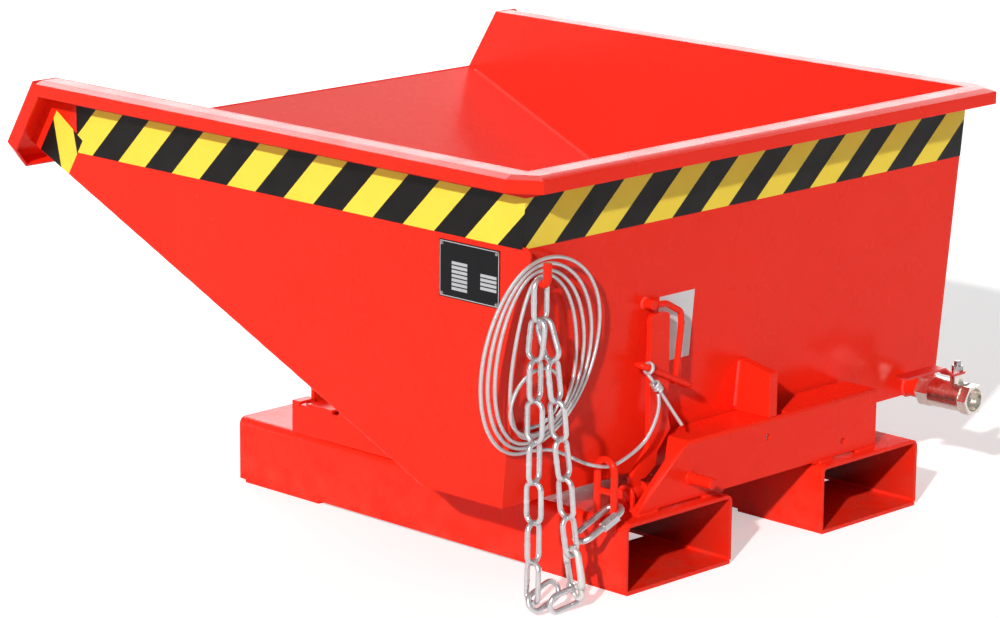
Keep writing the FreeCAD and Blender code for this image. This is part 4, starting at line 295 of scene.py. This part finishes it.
def pocket_shade(shader):
    """How much painted shade darkens the red, more the deeper in the pocket."""
    axes = shader.axes()
    across = shader.near(shader.math("ABSOLUTE", axes[0]), HOLLOW_X, HOLLOW_HALF_WIDTH)
    upright = shader.near(axes[2], HOLLOW_Z, HOLLOW_HALF_HEIGHT)
    deep = shader.ramp(axes[1], SHADE_START - MIDDLE, SHADE_END - MIDDLE, 0.25, 0.85)
    return shader.math("MULTIPLY", shader.math("MULTIPLY", across, upright), deep)


def zinc(name, bright, metallic=0.92):
    """Zinc plating: bright metal with a fine crystalline grain and duller patches."""
    shader = Shader(name)
    grain = shader.node("ShaderNodeTexVoronoi", Vector=shader.where, Scale=420).outputs["Distance"]
    dull, light = [(tone, tone, tone * 1.03) for tone in (0.62 * bright, 0.86 * bright)]
    tone = shader.mix(shader.noise(70, 5), dull, light)
    grey = (0.48 * bright, 0.49 * bright, 0.52 * bright)
    tone = shader.mix(shader.ramp(grain, 0.2, 0.8, 0.0, 0.22), tone, grey)
    rough = shader.ramp(shader.noise(120, 4), 0.3, 0.7, 0.20, 0.42)
    return shader.finish(Base_Color=tone, Metallic=metallic, Roughness=rough,
                         Normal=shader.bump(shader.noise(520, 3), 0.00012, 0.5))


def rope_steel():
    """Galvanised wire rope: close strands that lean across the rope."""
    shader = Shader("rope_steel")
    tone = shader.mix(shader.noise(180, 3), (0.52, 0.53, 0.55), (0.78, 0.79, 0.80))
    strands = shader.node("ShaderNodeTexWave", {"bands_direction": "DIAGONAL"}, Vector=shader.where,
                          Scale=420, Distortion=1.5).outputs["Fac"]
    tone = shader.mix(shader.ramp(strands, 0.0, 0.35, 0.45, 0.0), tone, (0.34, 0.35, 0.37))
    return shader.finish(Base_Color=tone, Metallic=0.55, Roughness=0.36,
                         Normal=shader.bump(strands, 0.0003, 0.6))


def stripes(name, along, start, pitch, share):
    """Black and yellow tape. along is the (x, y, z) direction across the stripes, unscaled."""
    shader = Shader(name)
    axes = shader.axes()
    place = shader.math("MULTIPLY", axes[0], along[0])
    for index in (1, 2):
        place = shader.math("MULTIPLY_ADD", axes[index], along[index], place)
    step = shader.math("FRACT", shader.math("DIVIDE", shader.math("SUBTRACT", place, start), pitch))
    yellow = shader.math("LESS_THAN", step, share)
    bright = shader.mix(shader.noise(26, 4), TAPE_YELLOW, TAPE_YELLOW_LIGHT)
    dark = shader.mix(shader.noise(40, 4), TAPE_BLACK, TAPE_BLACK_LIGHT)
    rough = shader.ramp(shader.noise(30, 3), 0.3, 0.7, 0.36, 0.52)
    wrinkle = shader.bump(shader.noise(34, 3), 0.0006, 0.3)
    return shader.finish(Base_Color=shader.mix(yellow, dark, bright), Roughness=rough,
                         Specular_IOR_Level=0.16,
                         Normal=shader.bump(shader.noise(700, 1), 0.00005, 0.4, wrinkle))


def plated_brass():
    shader = Shader("plated_brass")
    tone = shader.mix(shader.noise(90, 4), (0.60, 0.56, 0.50), (0.82, 0.79, 0.74))
    cast = shader.bump(shader.noise(800, 3), 0.00015, 0.5)
    rough = shader.ramp(shader.noise(140, 3), 0.3, 0.7, 0.14, 0.32)
    return shader.finish(Base_Color=tone, Metallic=0.95, Roughness=rough, Normal=cast)


def plain(name, low, high, roughness, metallic=0.0, specular=0.5):
    """A plain material with a little change of tone and a fine grain."""
    shader = Shader(name)
    return shader.finish(Base_Color=shader.mix(shader.noise(50, 4), low, high), Metallic=metallic,
                         Roughness=roughness, Specular_IOR_Level=specular,
                         Normal=shader.bump(shader.noise(300, 3), 0.0001, 0.4))


def make_materials():
    """Every material, each given to the CAD nodes that it belongs on."""
    made = {
        "red": red_paint("red_enamel"),
        "red_low": red_paint("red_enamel_base", dust=0.30),
        # Paler reds for the lit chute floor and right inner wall: painted sheen
        "red_floor": red_paint("red_enamel_chute_sheen", painted_sheen=0.040),
        "red_inner": red_paint("red_enamel_right_sheen", painted_sheen=0.012),
        # Painted shade inside the fork pockets, with dust low down
        "red_pocket": red_paint("red_enamel_pocket_shade", dust=0.3, pocket=True),
        "chain": zinc("zinc_chain", 0.86, metallic=0.86),
        "link": zinc("zinc_link", 0.78, metallic=0.88),
        "shaft": zinc("zinc_shaft", 0.5),
        "brass": plated_brass(),
        "rope": rope_steel(),
        "ball": plain("ball_chrome", (0.80, 0.80, 0.82), (0.86, 0.86, 0.88), 0.08, metallic=1.0),
        "cast": plain("cast_zinc", (0.60, 0.60, 0.58), (0.80, 0.80, 0.78), 0.34, metallic=0.5),
        "seat": plain("seat_plastic", (0.80, 0.80, 0.78), (0.88, 0.88, 0.86), 0.4),
        "plate": plain("plate_black", (0.006, 0.006, 0.007), (0.012, 0.012, 0.014), 0.42, specular=0.12),
        "silver": plain("plate_silver", (0.50, 0.51, 0.53), (0.60, 0.61, 0.63), 0.35, metallic=0.7),
        "label": plain("label_paper", (0.66, 0.68, 0.70), (0.74, 0.76, 0.78), 0.55),
        "sleeve": plain("lever_sleeve", (0.62, 0.012, 0.010), (0.72, 0.022, 0.014), 0.30),
    }
    by_slot = {
        "red_paint": "red", "zinc_steel": "shaft", "wire_rope": "rope", "valve_brass": "brass",
        "seat_plastic": "seat", "ball_chrome": "ball", "lever_sleeve": "sleeve", "dark_plate": "plate",
        "paper_label": "label",
    }
    by_node = {
        "chute_floor": "red_floor", "lever_pivot_bolt": "red_low",
        "fork_pocket_left": "red_pocket", "fork_pocket_right": "red_pocket",
        "safety_chain": "chain", "snap_hook": "chain", "snap_gate": "chain", "snap_gate_pin": "chain",
        "quick_link": "link", "quick_link_sleeve": "link",
    }
    base = frame["record"]["behaviour"]["bodies"]["base"]
    for part in frame["record"]["subparts"]:
        name, slot = part["node"], part["material_slot"]
        if name in TAPES:
            material = stripes(name + "_stripes", *TAPES[name])
        elif name in by_node:
            material = made[by_node[name]]
        elif slot == "red_paint" and name in base:
            material = made["red_low"]
        else:
            material = made[by_slot[slot]]
        NODES[name].data.materials.clear()
        NODES[name].data.materials.append(material)
    return made


# Meshes

def add_object(name, data, material, body):
    thing = bpy.data.objects.new(name, data)
    bpy.context.scene.collection.objects.link(thing)
    data.materials.append(material)
    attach(thing, body)
    return thing


def join_meshes(name, parts, smooth=True):
    mesh = bpy.data.meshes.new(name)
    verts, faces = [], []
    for part_verts, part_faces in parts:
        offset = len(verts)
        verts += part_verts
        faces += [tuple(corner + offset for corner in face) for face in part_faces]
    mesh.from_pydata(verts, [], faces)
    mesh.update()
    mesh.polygons.foreach_set("use_smooth", [smooth] * len(mesh.polygons))
    return mesh


def closing_turn(first, last):
    """How many corners a closed tube's last ring is turned on from its first one."""
    sides = len(first)
    gaps = [(sum((last[(turn + shift) % sides] - first[turn]).length for turn in range(sides)), shift)
            for shift in range(sides)]
    return min(gaps)[1]


def tube_mesh(path, radius, sides, closed=False):
    """Vertices and faces of a round tube along points, its section kept from twisting.

    radius is a number, or a function of the point's index."""
    count = len(path)
    if closed:
        ahead = [path[(i + 1) % count] - path[i - 1] for i in range(count)]
    else:
        ahead = [path[min(i + 1, count - 1)] - path[max(i - 1, 0)] for i in range(count)]
    ahead = [step.normalized() for step in ahead]
    side = ahead[0].orthogonal().normalized()
    verts, faces = [], []
    for index, (point, step) in enumerate(zip(path, ahead)):
        side = (side - step * side.dot(step)).normalized()
        other = step.cross(side)
        size = radius(index) if callable(radius) else radius
        verts += [point + (side * math.cos(angle) + other * math.sin(angle)) * size
                  for angle in full_turn(sides)]
    for ring in range(count - 1):
        for turn in range(sides):
            here, there = ring * sides + turn, ring * sides + (turn + 1) % sides
            faces.append((here, there, there + sides, here + sides))
    if not closed:
        return verts, faces + [tuple(range(sides))[::-1], tuple(range((count - 1) * sides, count * sides))]
    start = (count - 1) * sides
    shift = closing_turn([vert - path[0] for vert in verts[:sides]],
                         [vert - path[-1] for vert in verts[start:]])
    for turn in range(sides):
        after = turn + 1
        faces.append((start + turn, start + after % sides, (after - shift) % sides, (turn - shift) % sides))
    return verts, faces


def block(low, high):
    """A plain thin block between two corners."""
    (x0, y0, z0), (x1, y1, z1) = low, high
    verts = [Vector(v) for v in ((x0, y0, z0), (x1, y0, z0), (x1, y1, z0), (x0, y1, z0),
                                 (x0, y0, z1), (x1, y0, z1), (x1, y1, z1), (x0, y1, z1))]
    faces = [(0, 3, 2, 1), (4, 5, 6, 7), (0, 1, 5, 4), (1, 2, 6, 5), (2, 3, 7, 6), (3, 0, 4, 7)]
    return verts, faces


# Chain and snap hook

# Where each chain link hangs: middle across, along and below the hook's rod in shares of the pitch,
# the slopes of its long axis, and its turn about the upright in degrees. SNAP_SHARES says the same of
# the snap hook. An optimiser worked both out.
CHAIN_SHARES = (
    (0.0000, 0.5306, 0.3939, 0.000, 0.000, 0.0), (-0.0785, 0.5610, 1.3267, 0.014, -0.108, 86.3),
    (-0.0816, 0.5955, 2.3225, 0.001, 0.009, -6.5), (-0.0817, 0.5900, 3.3141, -0.003, -0.002, 82.3),
    (-0.0814, 0.5930, 4.3049, 0.008, 0.000, -9.4), (-0.0820, 0.5905, 5.2950, 0.000, 0.013, 84.0),
    (-0.0809, 0.5942, 6.2837, -0.017, -0.014, -3.8), (-0.1032, 0.5867, 7.2600, 0.055, 0.032, 97.1),
    (0.1442, 0.4593, 7.6262, 3.193, 0.076, 57.3), (0.5931, 0.1551, 7.7451, 7.488, -0.582, -20.4),
    (0.0839, 0.3424, 1.3103, -0.029, 0.372, 84.6), (0.1262, 0.1679, 2.2826, -0.081, 0.065, -11.2),
    (0.2641, 0.1610, 3.2633, -0.175, -0.057, 83.6), (0.4284, 0.1642, 4.2406, -0.144, 0.028, -4.3),
    (0.5695, 0.1629, 5.2202, -0.138, -0.028, 90.0), (0.7153, 0.1634, 6.1965, -0.185, 0.006, -6.3),
)
SNAP_SHARES = (0.8743, 0.1238, 7.1533, -0.071, 0.154, 92.5)

LINK_WIRE, LINK_ARM = 0.0035, 0.0105             # the wire's radius, and the radius of a link's ends
LINK_WELD, LINK_THIN = 0.0032, 0.0002            # half a weld's length, and how much thinner the wire is
HOOK_WIRE, HOOK_SWELL, HOOK_ARM, HOOK_RISE = 0.004, 0.0008, 0.010, 0.0205
EYE_RADIUS, EYE_WIRE, EYE_Z = 0.0073, 0.0032, -0.0225
FOOT_WIRE, CHEEK_RADIUS, CHEEK_Z = 0.0038, 0.0042, -0.0150
CHEEK_SPAN = (0.0024, 0.0040)


def hung(shares):
    """The place of one chain link as a matrix, long axis along Z and its face along Y."""
    across, along, down, slope_side, slope_front, turn = shares
    upright = Vector((slope_side, slope_front, 1)).normalized()
    facing = Vector((math.sin(math.radians(turn)), math.cos(math.radians(turn)), 0))
    facing = (facing - upright * facing.dot(upright)).normalized()
    turned = Matrix((facing.cross(upright), facing, upright)).transposed().to_4x4()
    place = spot(HOOK_X + across * PITCH, along * PITCH, HOOK_Z - down * PITCH)
    return Matrix.Translation(place) @ turned


def hang(shares, parts):
    """Parts made about the origin, moved to where a link or the hook hangs."""
    at = hung(shares)
    return [([at @ vert for vert in verts], faces) for verts, faces in parts]


def make_chain(material):
    """Round links with a weld bead on one long side of each."""
    arm, straight = LINK_ARM, PITCH / 2 - LINK_ARM
    falling = [1 - step / 6 for step in range(1, 12)]
    loop = [Vector((arm * math.cos(angle), 0, straight + arm * math.sin(angle))) for angle in half_turn(12)]
    loop += [Vector((-arm, 0, straight * share)) for share in falling]
    loop += [Vector((-arm * math.cos(angle), 0, -straight - arm * math.sin(angle)))
             for angle in half_turn(12)]
    loop += [Vector((arm, 0, -straight * share)) for share in falling]

    def radius_at(index):
        point = loop[index]
        weld = max(0, 1 - abs(point.z) / LINK_WELD) if point.x < 0 else 0
        return LINK_WIRE - LINK_THIN + 2 * LINK_THIN * weld
    link = tube_mesh(loop, radius_at, 14, True)
    parts = [piece for shares in CHAIN_SHARES for piece in hang(shares, [link])]
    chain = add_object("chain_links", join_meshes("chain_links", parts), material, "bucket")
    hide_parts("safety_chain")


def make_snap_hook(material):
    """A cast hook: a bow over the chain's end, a thick back and a round eye below, with cheeks for its
    gate."""
    arm, rise = HOOK_ARM, HOOK_RISE
    bow = [Vector((-arm, 0, 0.012)), Vector((-arm, 0, rise))]
    bow += [Vector((-arm * math.cos(angle), 0, rise + arm * math.sin(angle)))
            for angle in half_turn(14)[1:]]
    bow += [Vector((x, 0, z)) for x, z in ((arm, 0.012), (arm, 0.004), (0.0097, -0.004), (0.0088, -0.011),
                                           (0.0074, -0.018))]
    last = len(bow) - 1

    def bow_radius(index):
        return HOOK_WIRE + HOOK_SWELL * max(0, index - last + 4) / 4
    foot = [Vector((x, 0, z)) for x, z in ((-0.0098, -0.0188), (-0.0088, -0.0205), (-0.0074, -0.0225))]
    eye = [Vector((EYE_RADIUS * math.cos(angle), 0, EYE_Z + EYE_RADIUS * math.sin(angle)))
           for angle in full_turn(32)]
    parts = [tube_mesh(bow, bow_radius, 14), tube_mesh(foot, FOOT_WIRE, 12),
             tube_mesh(eye, EYE_WIRE, 12, True)]
    for side in (-1, 1):
        cheek = [Vector((-arm, side * reach, CHEEK_Z)) for reach in CHEEK_SPAN]
        parts.append(tube_mesh(cheek, CHEEK_RADIUS, 20))
    mesh = join_meshes("cast_hook", hang(SNAP_SHARES, parts))
    hook = add_object("cast_hook", mesh, material, "bucket")
    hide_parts("snap_hook")


# Rope

# The coil's extremes in shares of its unit, right of and above the hook's rod. Most of the numbers come
# from a search.
COIL_UNIT, COIL_Y, COIL_LEAN = 0.2, 0.0348, math.radians(8.53)
COIL_SHARES = (
    (0.0800, -1.0693), (-0.3560, -0.4697), (0.0705, 0.1390), (0.6080, -0.4009), (0.1050, -1.0425),
    (-0.2980, -0.4737), (0.0465, 0.1042), (0.5500, -0.4965), (0.1050, -1.0137), (-0.2390, -0.4753),
    (0.0295, 0.0672), (0.4950, -0.5632), (0.1090, -0.9829), (-0.1020, -0.5248), (0.0355, 0.0384),
    (0.4350, -0.6128), (0.1160, -0.9500), (-0.1080, -0.7504), (0.1050, -0.5363), (0.3100, -0.7432),
    (0.1440, -0.9166),
)
COIL_LIFT = {15: (0, 1), 16: (1, 1), 17: (1, 1), 18: (1, 1), 19: (1, 0)}
COIL_PROUD = 0.0065                              # how far the small inner loop lies in front
COIL_STEPS = (15, 45, 75)                        # degrees along each quarter turn

# The free stretch from the knot to the coil.
RUN_POINTS = (
    (-0.1874, 0.0305, 0.2140), (-0.1994, 0.0270, 0.1942), (-0.2136, 0.0275, 0.1752),
    (-0.2334, 0.0285, 0.1640), (-0.2618, 0.0295, 0.1544), (-0.2798, 0.0300, 0.1537),
    (-0.3030, 0.0380, 0.1598), (-0.3171, 0.0500, 0.1686),
)
RUN_HELD, RUN_LEVEL = 4, 0.040                   # RUN_LEVEL is its level stretch into the coil

KNOT, KNOT_REACH, KNOT_TURN, KNOT_TURNS = spot(-0.1865, 0.037, 0.2345), 0.007, 0.0042, 3
TAIL_SLOPE = Vector((0.716, -0.133, -1)).normalized()
TAIL_REACHES = (KNOT_REACH, 0.026, 0.046, 0.066)
EYELET, EYELET_RADIUS = spot(-0.1978, 0.040, 0.25825), 0.00635
EYELET_DOWN = Vector((-0.417, 0, -0.909))


def coil_spot(across, up, lift=0.0):
    lean = Matrix.Rotation(COIL_LEAN, 4, "X")
    place = Vector((HOOK_X + across * COIL_UNIT, -COIL_PROUD * lift, up * COIL_UNIT))
    return lean @ place + spot(0, COIL_Y, HOOK_Z)


def coil_points():
    """Three points round each quarter turn, from the turns' extremes. The small inner loop lies on top."""
    points = [COIL_SHARES[0]]
    out = 1 / math.cos(math.radians(COIL_STEPS[0]))
    for index, (start, stop) in enumerate(zip(COIL_SHARES, COIL_SHARES[1:])):
        centre = (start[0], stop[1]) if index % 2 == 0 else (stop[0], start[1])
        before, after = COIL_LIFT.get(index, (0, 0))
        for degrees in COIL_STEPS:
            angle = math.radians(degrees)
            flat = tuple(c + out * ((a - c) * math.cos(angle) + (b - c) * math.sin(angle))
                         for a, b, c in zip(start, stop, centre))
            points.append(flat + (before + (after - before) * degrees / 90,))
    return [coil_spot(*point) for point in points + [COIL_SHARES[-1]]]


def rope_line(name, points):
    """A rope's curve through its control points, with its round section."""
    curve = bpy.data.curves.new(name, "CURVE")
    curve.dimensions, curve.bevel_depth, curve.bevel_resolution = "3D", ROPE / 2, 4
    curve.use_fill_caps, curve.resolution_u = True, 8
    spline = curve.splines.new("NURBS")
    spline.points.add(len(points) - 1)
    for point, place in zip(spline.points, points):
        point.co = (*place, 1)
    spline.order_u, spline.use_endpoint_u = 3, True
    return curve


def curve_mesh(curve):
    probe = bpy.data.objects.new("probe", curve)
    mesh = bpy.data.meshes.new_from_object(probe)
    bpy.data.objects.remove(probe)
    return mesh


def middle_line(curve):
    """The points that a rope's curve follows, without its round section."""
    line = curve.copy()
    line.bevel_depth = 0
    mesh = curve_mesh(line)
    points = [vertex.co.copy() for vertex in mesh.vertices]
    bpy.data.meshes.remove(mesh)
    bpy.data.curves.remove(line)
    return points


def line_length(points):
    return sum((after - before).length for before, after in zip(points, points[1:]))


def make_run(material, start, begin):
    """The free stretch, a mesh from the knot to the coil."""
    route = [spot(*point) for point in RUN_POINTS]
    curve = rope_line("rope_run", [start] + route + [begin + Vector((RUN_LEVEL, 0, 0)), begin])
    path, mesh = middle_line(curve), curve_mesh(curve)
    bpy.data.curves.remove(curve)
    mesh.name = "rope_run"
    mesh.materials.clear()
    mesh.materials.append(material)
    run = bpy.data.objects.new("rope_run", mesh)
    bpy.context.scene.collection.objects.link(run)
    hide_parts("cable_run")
    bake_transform(run)


def make_rope(material):
    start = KNOT + (spot(*RUN_POINTS[0]) - KNOT).normalized() * (KNOT_REACH + ROPE / 2)
    begin = coil_spot(*COIL_SHARES[0])
    make_run(material, start, begin)
    line = rope_line("rope_coil", coil_points())
    coil = add_object("rope_coil", line, material, "bucket")
    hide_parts("cable_coil")
    line_length(middle_line(line))
    route = [KNOT + TAIL_SLOPE * reach for reach in TAIL_REACHES]
    line = rope_line("rope_tail", route)
    tail = add_object("rope_tail", line, material, "lever")
    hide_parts("cable_tail")
    line_length(middle_line(line))


def make_knot(material):
    """A stopper knot: three turns round the rope, below the eye that goes round the handle's ring."""
    across = Vector((0, 1, 0))
    side = TAIL_SLOPE.orthogonal().normalized()
    other = TAIL_SLOPE.cross(side)
    turns = []
    for degrees in range(0, 360 * KNOT_TURNS + 1, 15):
        angle = math.radians(degrees)
        turns.append(KNOT + TAIL_SLOPE * (KNOT_TURN * (degrees / 360 - KNOT_TURNS / 2))
                     + (side * math.cos(angle) + other * math.sin(angle)) * KNOT_TURN)
    stem = [KNOT.lerp(EYELET + EYELET_DOWN * EYELET_RADIUS, share) for share in (0.0, 0.5, 1.0)]
    ring = [EYELET + (across * math.cos(angle) + EYELET_DOWN * math.sin(angle)) * EYELET_RADIUS
            for angle in full_turn(32)]
    parts = [tube_mesh(turns, ROPE / 2, 10), tube_mesh(stem, ROPE / 2, 10),
             tube_mesh(ring, ROPE / 2, 10, True)]
    piece = add_object("rope_knot", join_meshes("rope_knot", parts), material, "lever")
    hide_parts("cable_knot")


# Welds

BEAD_STEP, BEAD_RIPPLE = 0.0013, 0.0052          # a bead's points lie this close, and its ripples
CHUTE_END = 0.930                                # where the beads along the chute end
SEAM_Z, INNER_SEAM_Z = 0.122, 0.1232             # the floor's rear seam, and its beads inside
ROCKER_EDGES, ROCKER_ENDS = (0.2525, 0.2725), (0.387, 0.568)
LUG_EDGES, LUG_ENDS = (0.0, 0.014), (0.168, 0.228)
# Round the drain pipe, the cable hook and the keeper pin: X, Z, the ring's radius and the bead's
WALL_RINGS = ((0.353, 0.131, 0.0135, 0.0026), (-0.394, HOOK_Z, 0.005, 0.0020),
              (-0.186, 0.333, 0.006, 0.0020))
BEAM_Y, BEAM_JOINTS = 0.015, ((-0.242, -0.204), (-0.124, -0.096), (0.096, 0.124), (0.169, 0.207))
RAIL_X, RAIL_ENDS = 0.2485, (0.252, 0.558)
LOOP_X, LOOP_LEGS, LOOP_ENDS, LOOP_ASIDE = -0.2768, (0.0165, 0.0435), (0.0785, 0.0845), 0.0042
BRACKET_EDGES, BRACKET_ENDS = (-0.229, -0.198), (0.036, 0.058)
STUB_X, STUB_Z, STUB_RING = -0.147, 0.1174, 0.007


def bead(radius, *ends):
    """A weld bead through points, with its ripples. Their Y counts from the pockets' rear ends."""
    points = [spot(*end) for end in ends]
    path, travelled = [], []
    done = 0
    for before, after in zip(points, points[1:]):
        length = (after - before).length
        steps = max(2, int(length / BEAD_STEP))
        for step in range(steps):
            path.append(before.lerp(after, step / steps))
            travelled.append(done + length * step / steps)
        done += length
    path.append(points[-1])
    travelled.append(done)

    def radius_at(index):
        place = travelled[index]
        ends_share = min(1, min(place, done - place) / (1.5 * radius) + 0.35)
        ripple = abs(math.sin(math.pi * place / BEAD_RIPPLE))
        wander = 0.05 * math.sin(place * 190) + 0.04 * math.sin(place * 67)
        return radius * ends_share * (0.92 + 0.12 * ripple + wander)
    return tube_mesh(path, radius_at, 8)


def ring_bead(x, z, face, ring_radius, radius):
    """A weld bead round a pin or pipe. face(z) is where its root lies, from the pockets' rear ends."""
    path = []
    for angle in full_turn(48):
        height = z + ring_radius * math.sin(angle)
        path.append(spot(x + ring_radius * math.cos(angle), face(height), height))
    return tube_mesh(path, lambda index: radius * (0.92 + 0.14 * abs(math.sin(index * 0.7))), 8, True)


def bucket_beads():
    inner, seam_y = HALF_BUCKET - SHEET, wall_y(SEAM_Z) + SHEET
    inside = ((seam_y, INNER_SEAM_Z), (FLAT_FRONT, INNER_SEAM_Z), (CHUTE_END, chute_z(CHUTE_END) + 0.0044))
    parts = []
    for side in (-1, 1):
        parts.append(bead(0.0036, *((side * (inner - 0.0012), y, z) for y, z in inside)))
        parts.append(bead(0.0026, *((side * (inner - 0.0005), wall_y(z) + SHEET, z)
                                    for z in (0.124, 0.505))))
        parts.append(bead(0.0022, *((side * inner, y, chute_z(y)) for y in (FLAT_FRONT, CHUTE_END))))
        for edge in ROCKER_EDGES:
            parts.append(bead(0.0026, *((side * edge, y, chute_z(y)) for y in ROCKER_ENDS)))
    parts.append(bead(0.0022, *((-inner, wall_y(z), z) for z in (0.190, 0.430))))
    parts.append(bead(0.0025, *((x, seam_y, 0.1225) for x in (-inner, inner))))
    parts.append(bead(0.0026, *((x, *MOUTH_FOOT) for x in (-inner, inner))))
    for x in LUG_EDGES:
        parts.append(bead(0.0026, *((x, wall_y(z), z) for z in LUG_ENDS)))
    for x, z, ring_radius, radius in WALL_RINGS:
        parts.append(ring_bead(x, z, wall_y, ring_radius, radius))
    return parts


def base_beads():
    parts = [bead(0.0028, *((x, BEAM_Y, POCKET_TOP) for x in joint)) for joint in BEAM_JOINTS]
    for side in (-1, 1):
        parts.append(bead(0.0028, *((side * RAIL_X, y, POCKET_TOP) for y in RAIL_ENDS)))
    for y in LOOP_LEGS:
        for aside in (-LOOP_ASIDE, LOOP_ASIDE):
            parts.append(bead(0.0024, *((LOOP_X, y + aside, z) for z in LOOP_ENDS)))
    for x in BRACKET_EDGES:
        parts.append(bead(0.0020, *((x, y, POCKET_TOP) for y in BRACKET_ENDS)))
    parts.append(ring_bead(STUB_X, STUB_Z, lambda height: BEAM_Y, STUB_RING, 0.0022))
    return parts


def make_welds(paint, low_paint):
    # The bucket's beads take the paler chute red, a painted highlight that makes them show as light lines
    add_object("bucket_welds", join_meshes("bucket_welds", bucket_beads()), paint, "bucket")
    add_object("base_welds", join_meshes("base_welds", base_beads()), low_paint, "base")


# Plate, tape and right wall

PRINT_LIFT, PRINT_EDGE, PRINT_LINE = 0.00015, 0.0012, 0.0010
BAR, BAR_PITCH = 0.0036, 0.0051
# The plate's two columns of bars: their ends from its front edge, the first bar from its top, the count
BAR_COLUMNS = ((0.0465, 0.021, 0.024, 7), (0.094, 0.068, 0.0315, 4))
TAPE_LOW, TAPE_HIGH, TAPE_PROUD, TAPE_SUNK = 0.433, 0.494, 0.0004, -0.0002


def make_plate_print(silver):
    """The data plate's light border and its blank boxes, with no words."""
    low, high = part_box("data_plate")
    rear, front, bottom, top = low.y, high.y, low.z, high.z

    def panel(y0, y1, z0, z1):
        return block((low.x - PRINT_LIFT, y0, z0), (low.x, y1, z1))
    parts = [panel(rear + PRINT_EDGE, front - PRINT_EDGE, z, z + PRINT_LINE)
             for z in (bottom + PRINT_EDGE, top - PRINT_EDGE - PRINT_LINE)]
    parts += [panel(y, y + PRINT_LINE, bottom + PRINT_EDGE, top - PRINT_EDGE)
              for y in (rear + PRINT_EDGE, front - PRINT_EDGE - PRINT_LINE)]
    for start, stop, first, count in BAR_COLUMNS:
        for index in range(count):
            z = top - first - index * BAR_PITCH
            parts.append(panel(front - start, front - stop, z - BAR, z))
    add_object("plate_boxes", join_meshes("plate_boxes", parts, False), silver, "bucket")


def make_corner_tape(material):
    """The tape where it turns round the side walls' rear edges."""
    parts = []
    for side in (-1, 1):
        inner, outer = sorted((side * (HALF_BUCKET - SHEET), side * (HALF_BUCKET + TAPE_PROUD)))
        outline = ((inner, TAPE_LOW), (outer, TAPE_LOW), (outer, TAPE_HIGH), (inner, TAPE_HIGH))
        corners = [spot(x, wall_y(z) - lift, z) for lift in (TAPE_PROUD, TAPE_SUNK) for x, z in outline]
        parts.append((corners, [(0, 1, 2, 3), (7, 6, 5, 4), (0, 4, 5, 1), (1, 5, 6, 2), (2, 6, 7, 3),
                                (3, 7, 4, 0)]))
    mesh = join_meshes("tape_corners", parts, False)
    add_object("tape_corners", mesh, material, "bucket")


def make_right_wall(material):
    """The right side wall, whose rear edge is flush with the rear wall: only the left one has a fin."""
    outline = ((REAR_TOP, BUCKET_TOP), (REAR_BOTTOM, BUCKET_BOTTOM), (FLAT_FRONT, BUCKET_BOTTOM),
               MOUTH_FOOT, MOUTH_HEAD)
    count = len(outline)
    corners = [spot(x, y, z) for x in (HALF_BUCKET - SHEET, HALF_BUCKET) for y, z in outline]
    faces = [tuple(range(count))[::-1], tuple(range(count, 2 * count))]
    faces += [(i, (i + 1) % count, (i + 1) % count + count, i + count) for i in range(count)]
    mesh = join_meshes("right_wall_plate", [(corners, faces)], False)
    wall = add_object("right_wall_plate", mesh, material, "bucket")
    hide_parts("side_wall_right")


# Rounded edges

PLATE_PARTS = ("fork_pocket_left", "fork_pocket_right", "rail_left", "rail_right", "front_crossmember",
               "rear_crossbeam", "lever_bracket", "lock_lever", "side_wall_left", "chute_floor",
               "bucket_rim", "rocker_left", "rocker_right", "stop_lug", "valve_lever", "data_plate")
EDGE_WIDTH, EDGE_ANGLE, SAME_POINT = 0.0009, math.radians(34), 0.00001


def round_edges():
    """Narrow rounded edges on the plate parts, so that they catch the light."""
    for name in PLATE_PARTS:
        merge = NODES[name].modifiers.new("merge", "WELD")
        merge.merge_threshold = SAME_POINT
        bevel = NODES[name].modifiers.new("bevel", "BEVEL")
        bevel.width, bevel.segments, bevel.limit_method = EDGE_WIDTH, 2, "ANGLE"
        bevel.angle_limit, bevel.harden_normals = EDGE_ANGLE, True


make_camera()
materials = make_materials()
make_stage()
make_chain(materials["chain"])
make_snap_hook(materials["cast"])
make_rope(materials["rope"])
make_knot(materials["rope"])
make_welds(materials["red_floor"], materials["red_low"])
make_plate_print(materials["silver"])
make_right_wall(materials["red_inner"])
make_corner_tape(NODES["tape_rear"].data.materials[0])
round_edges()
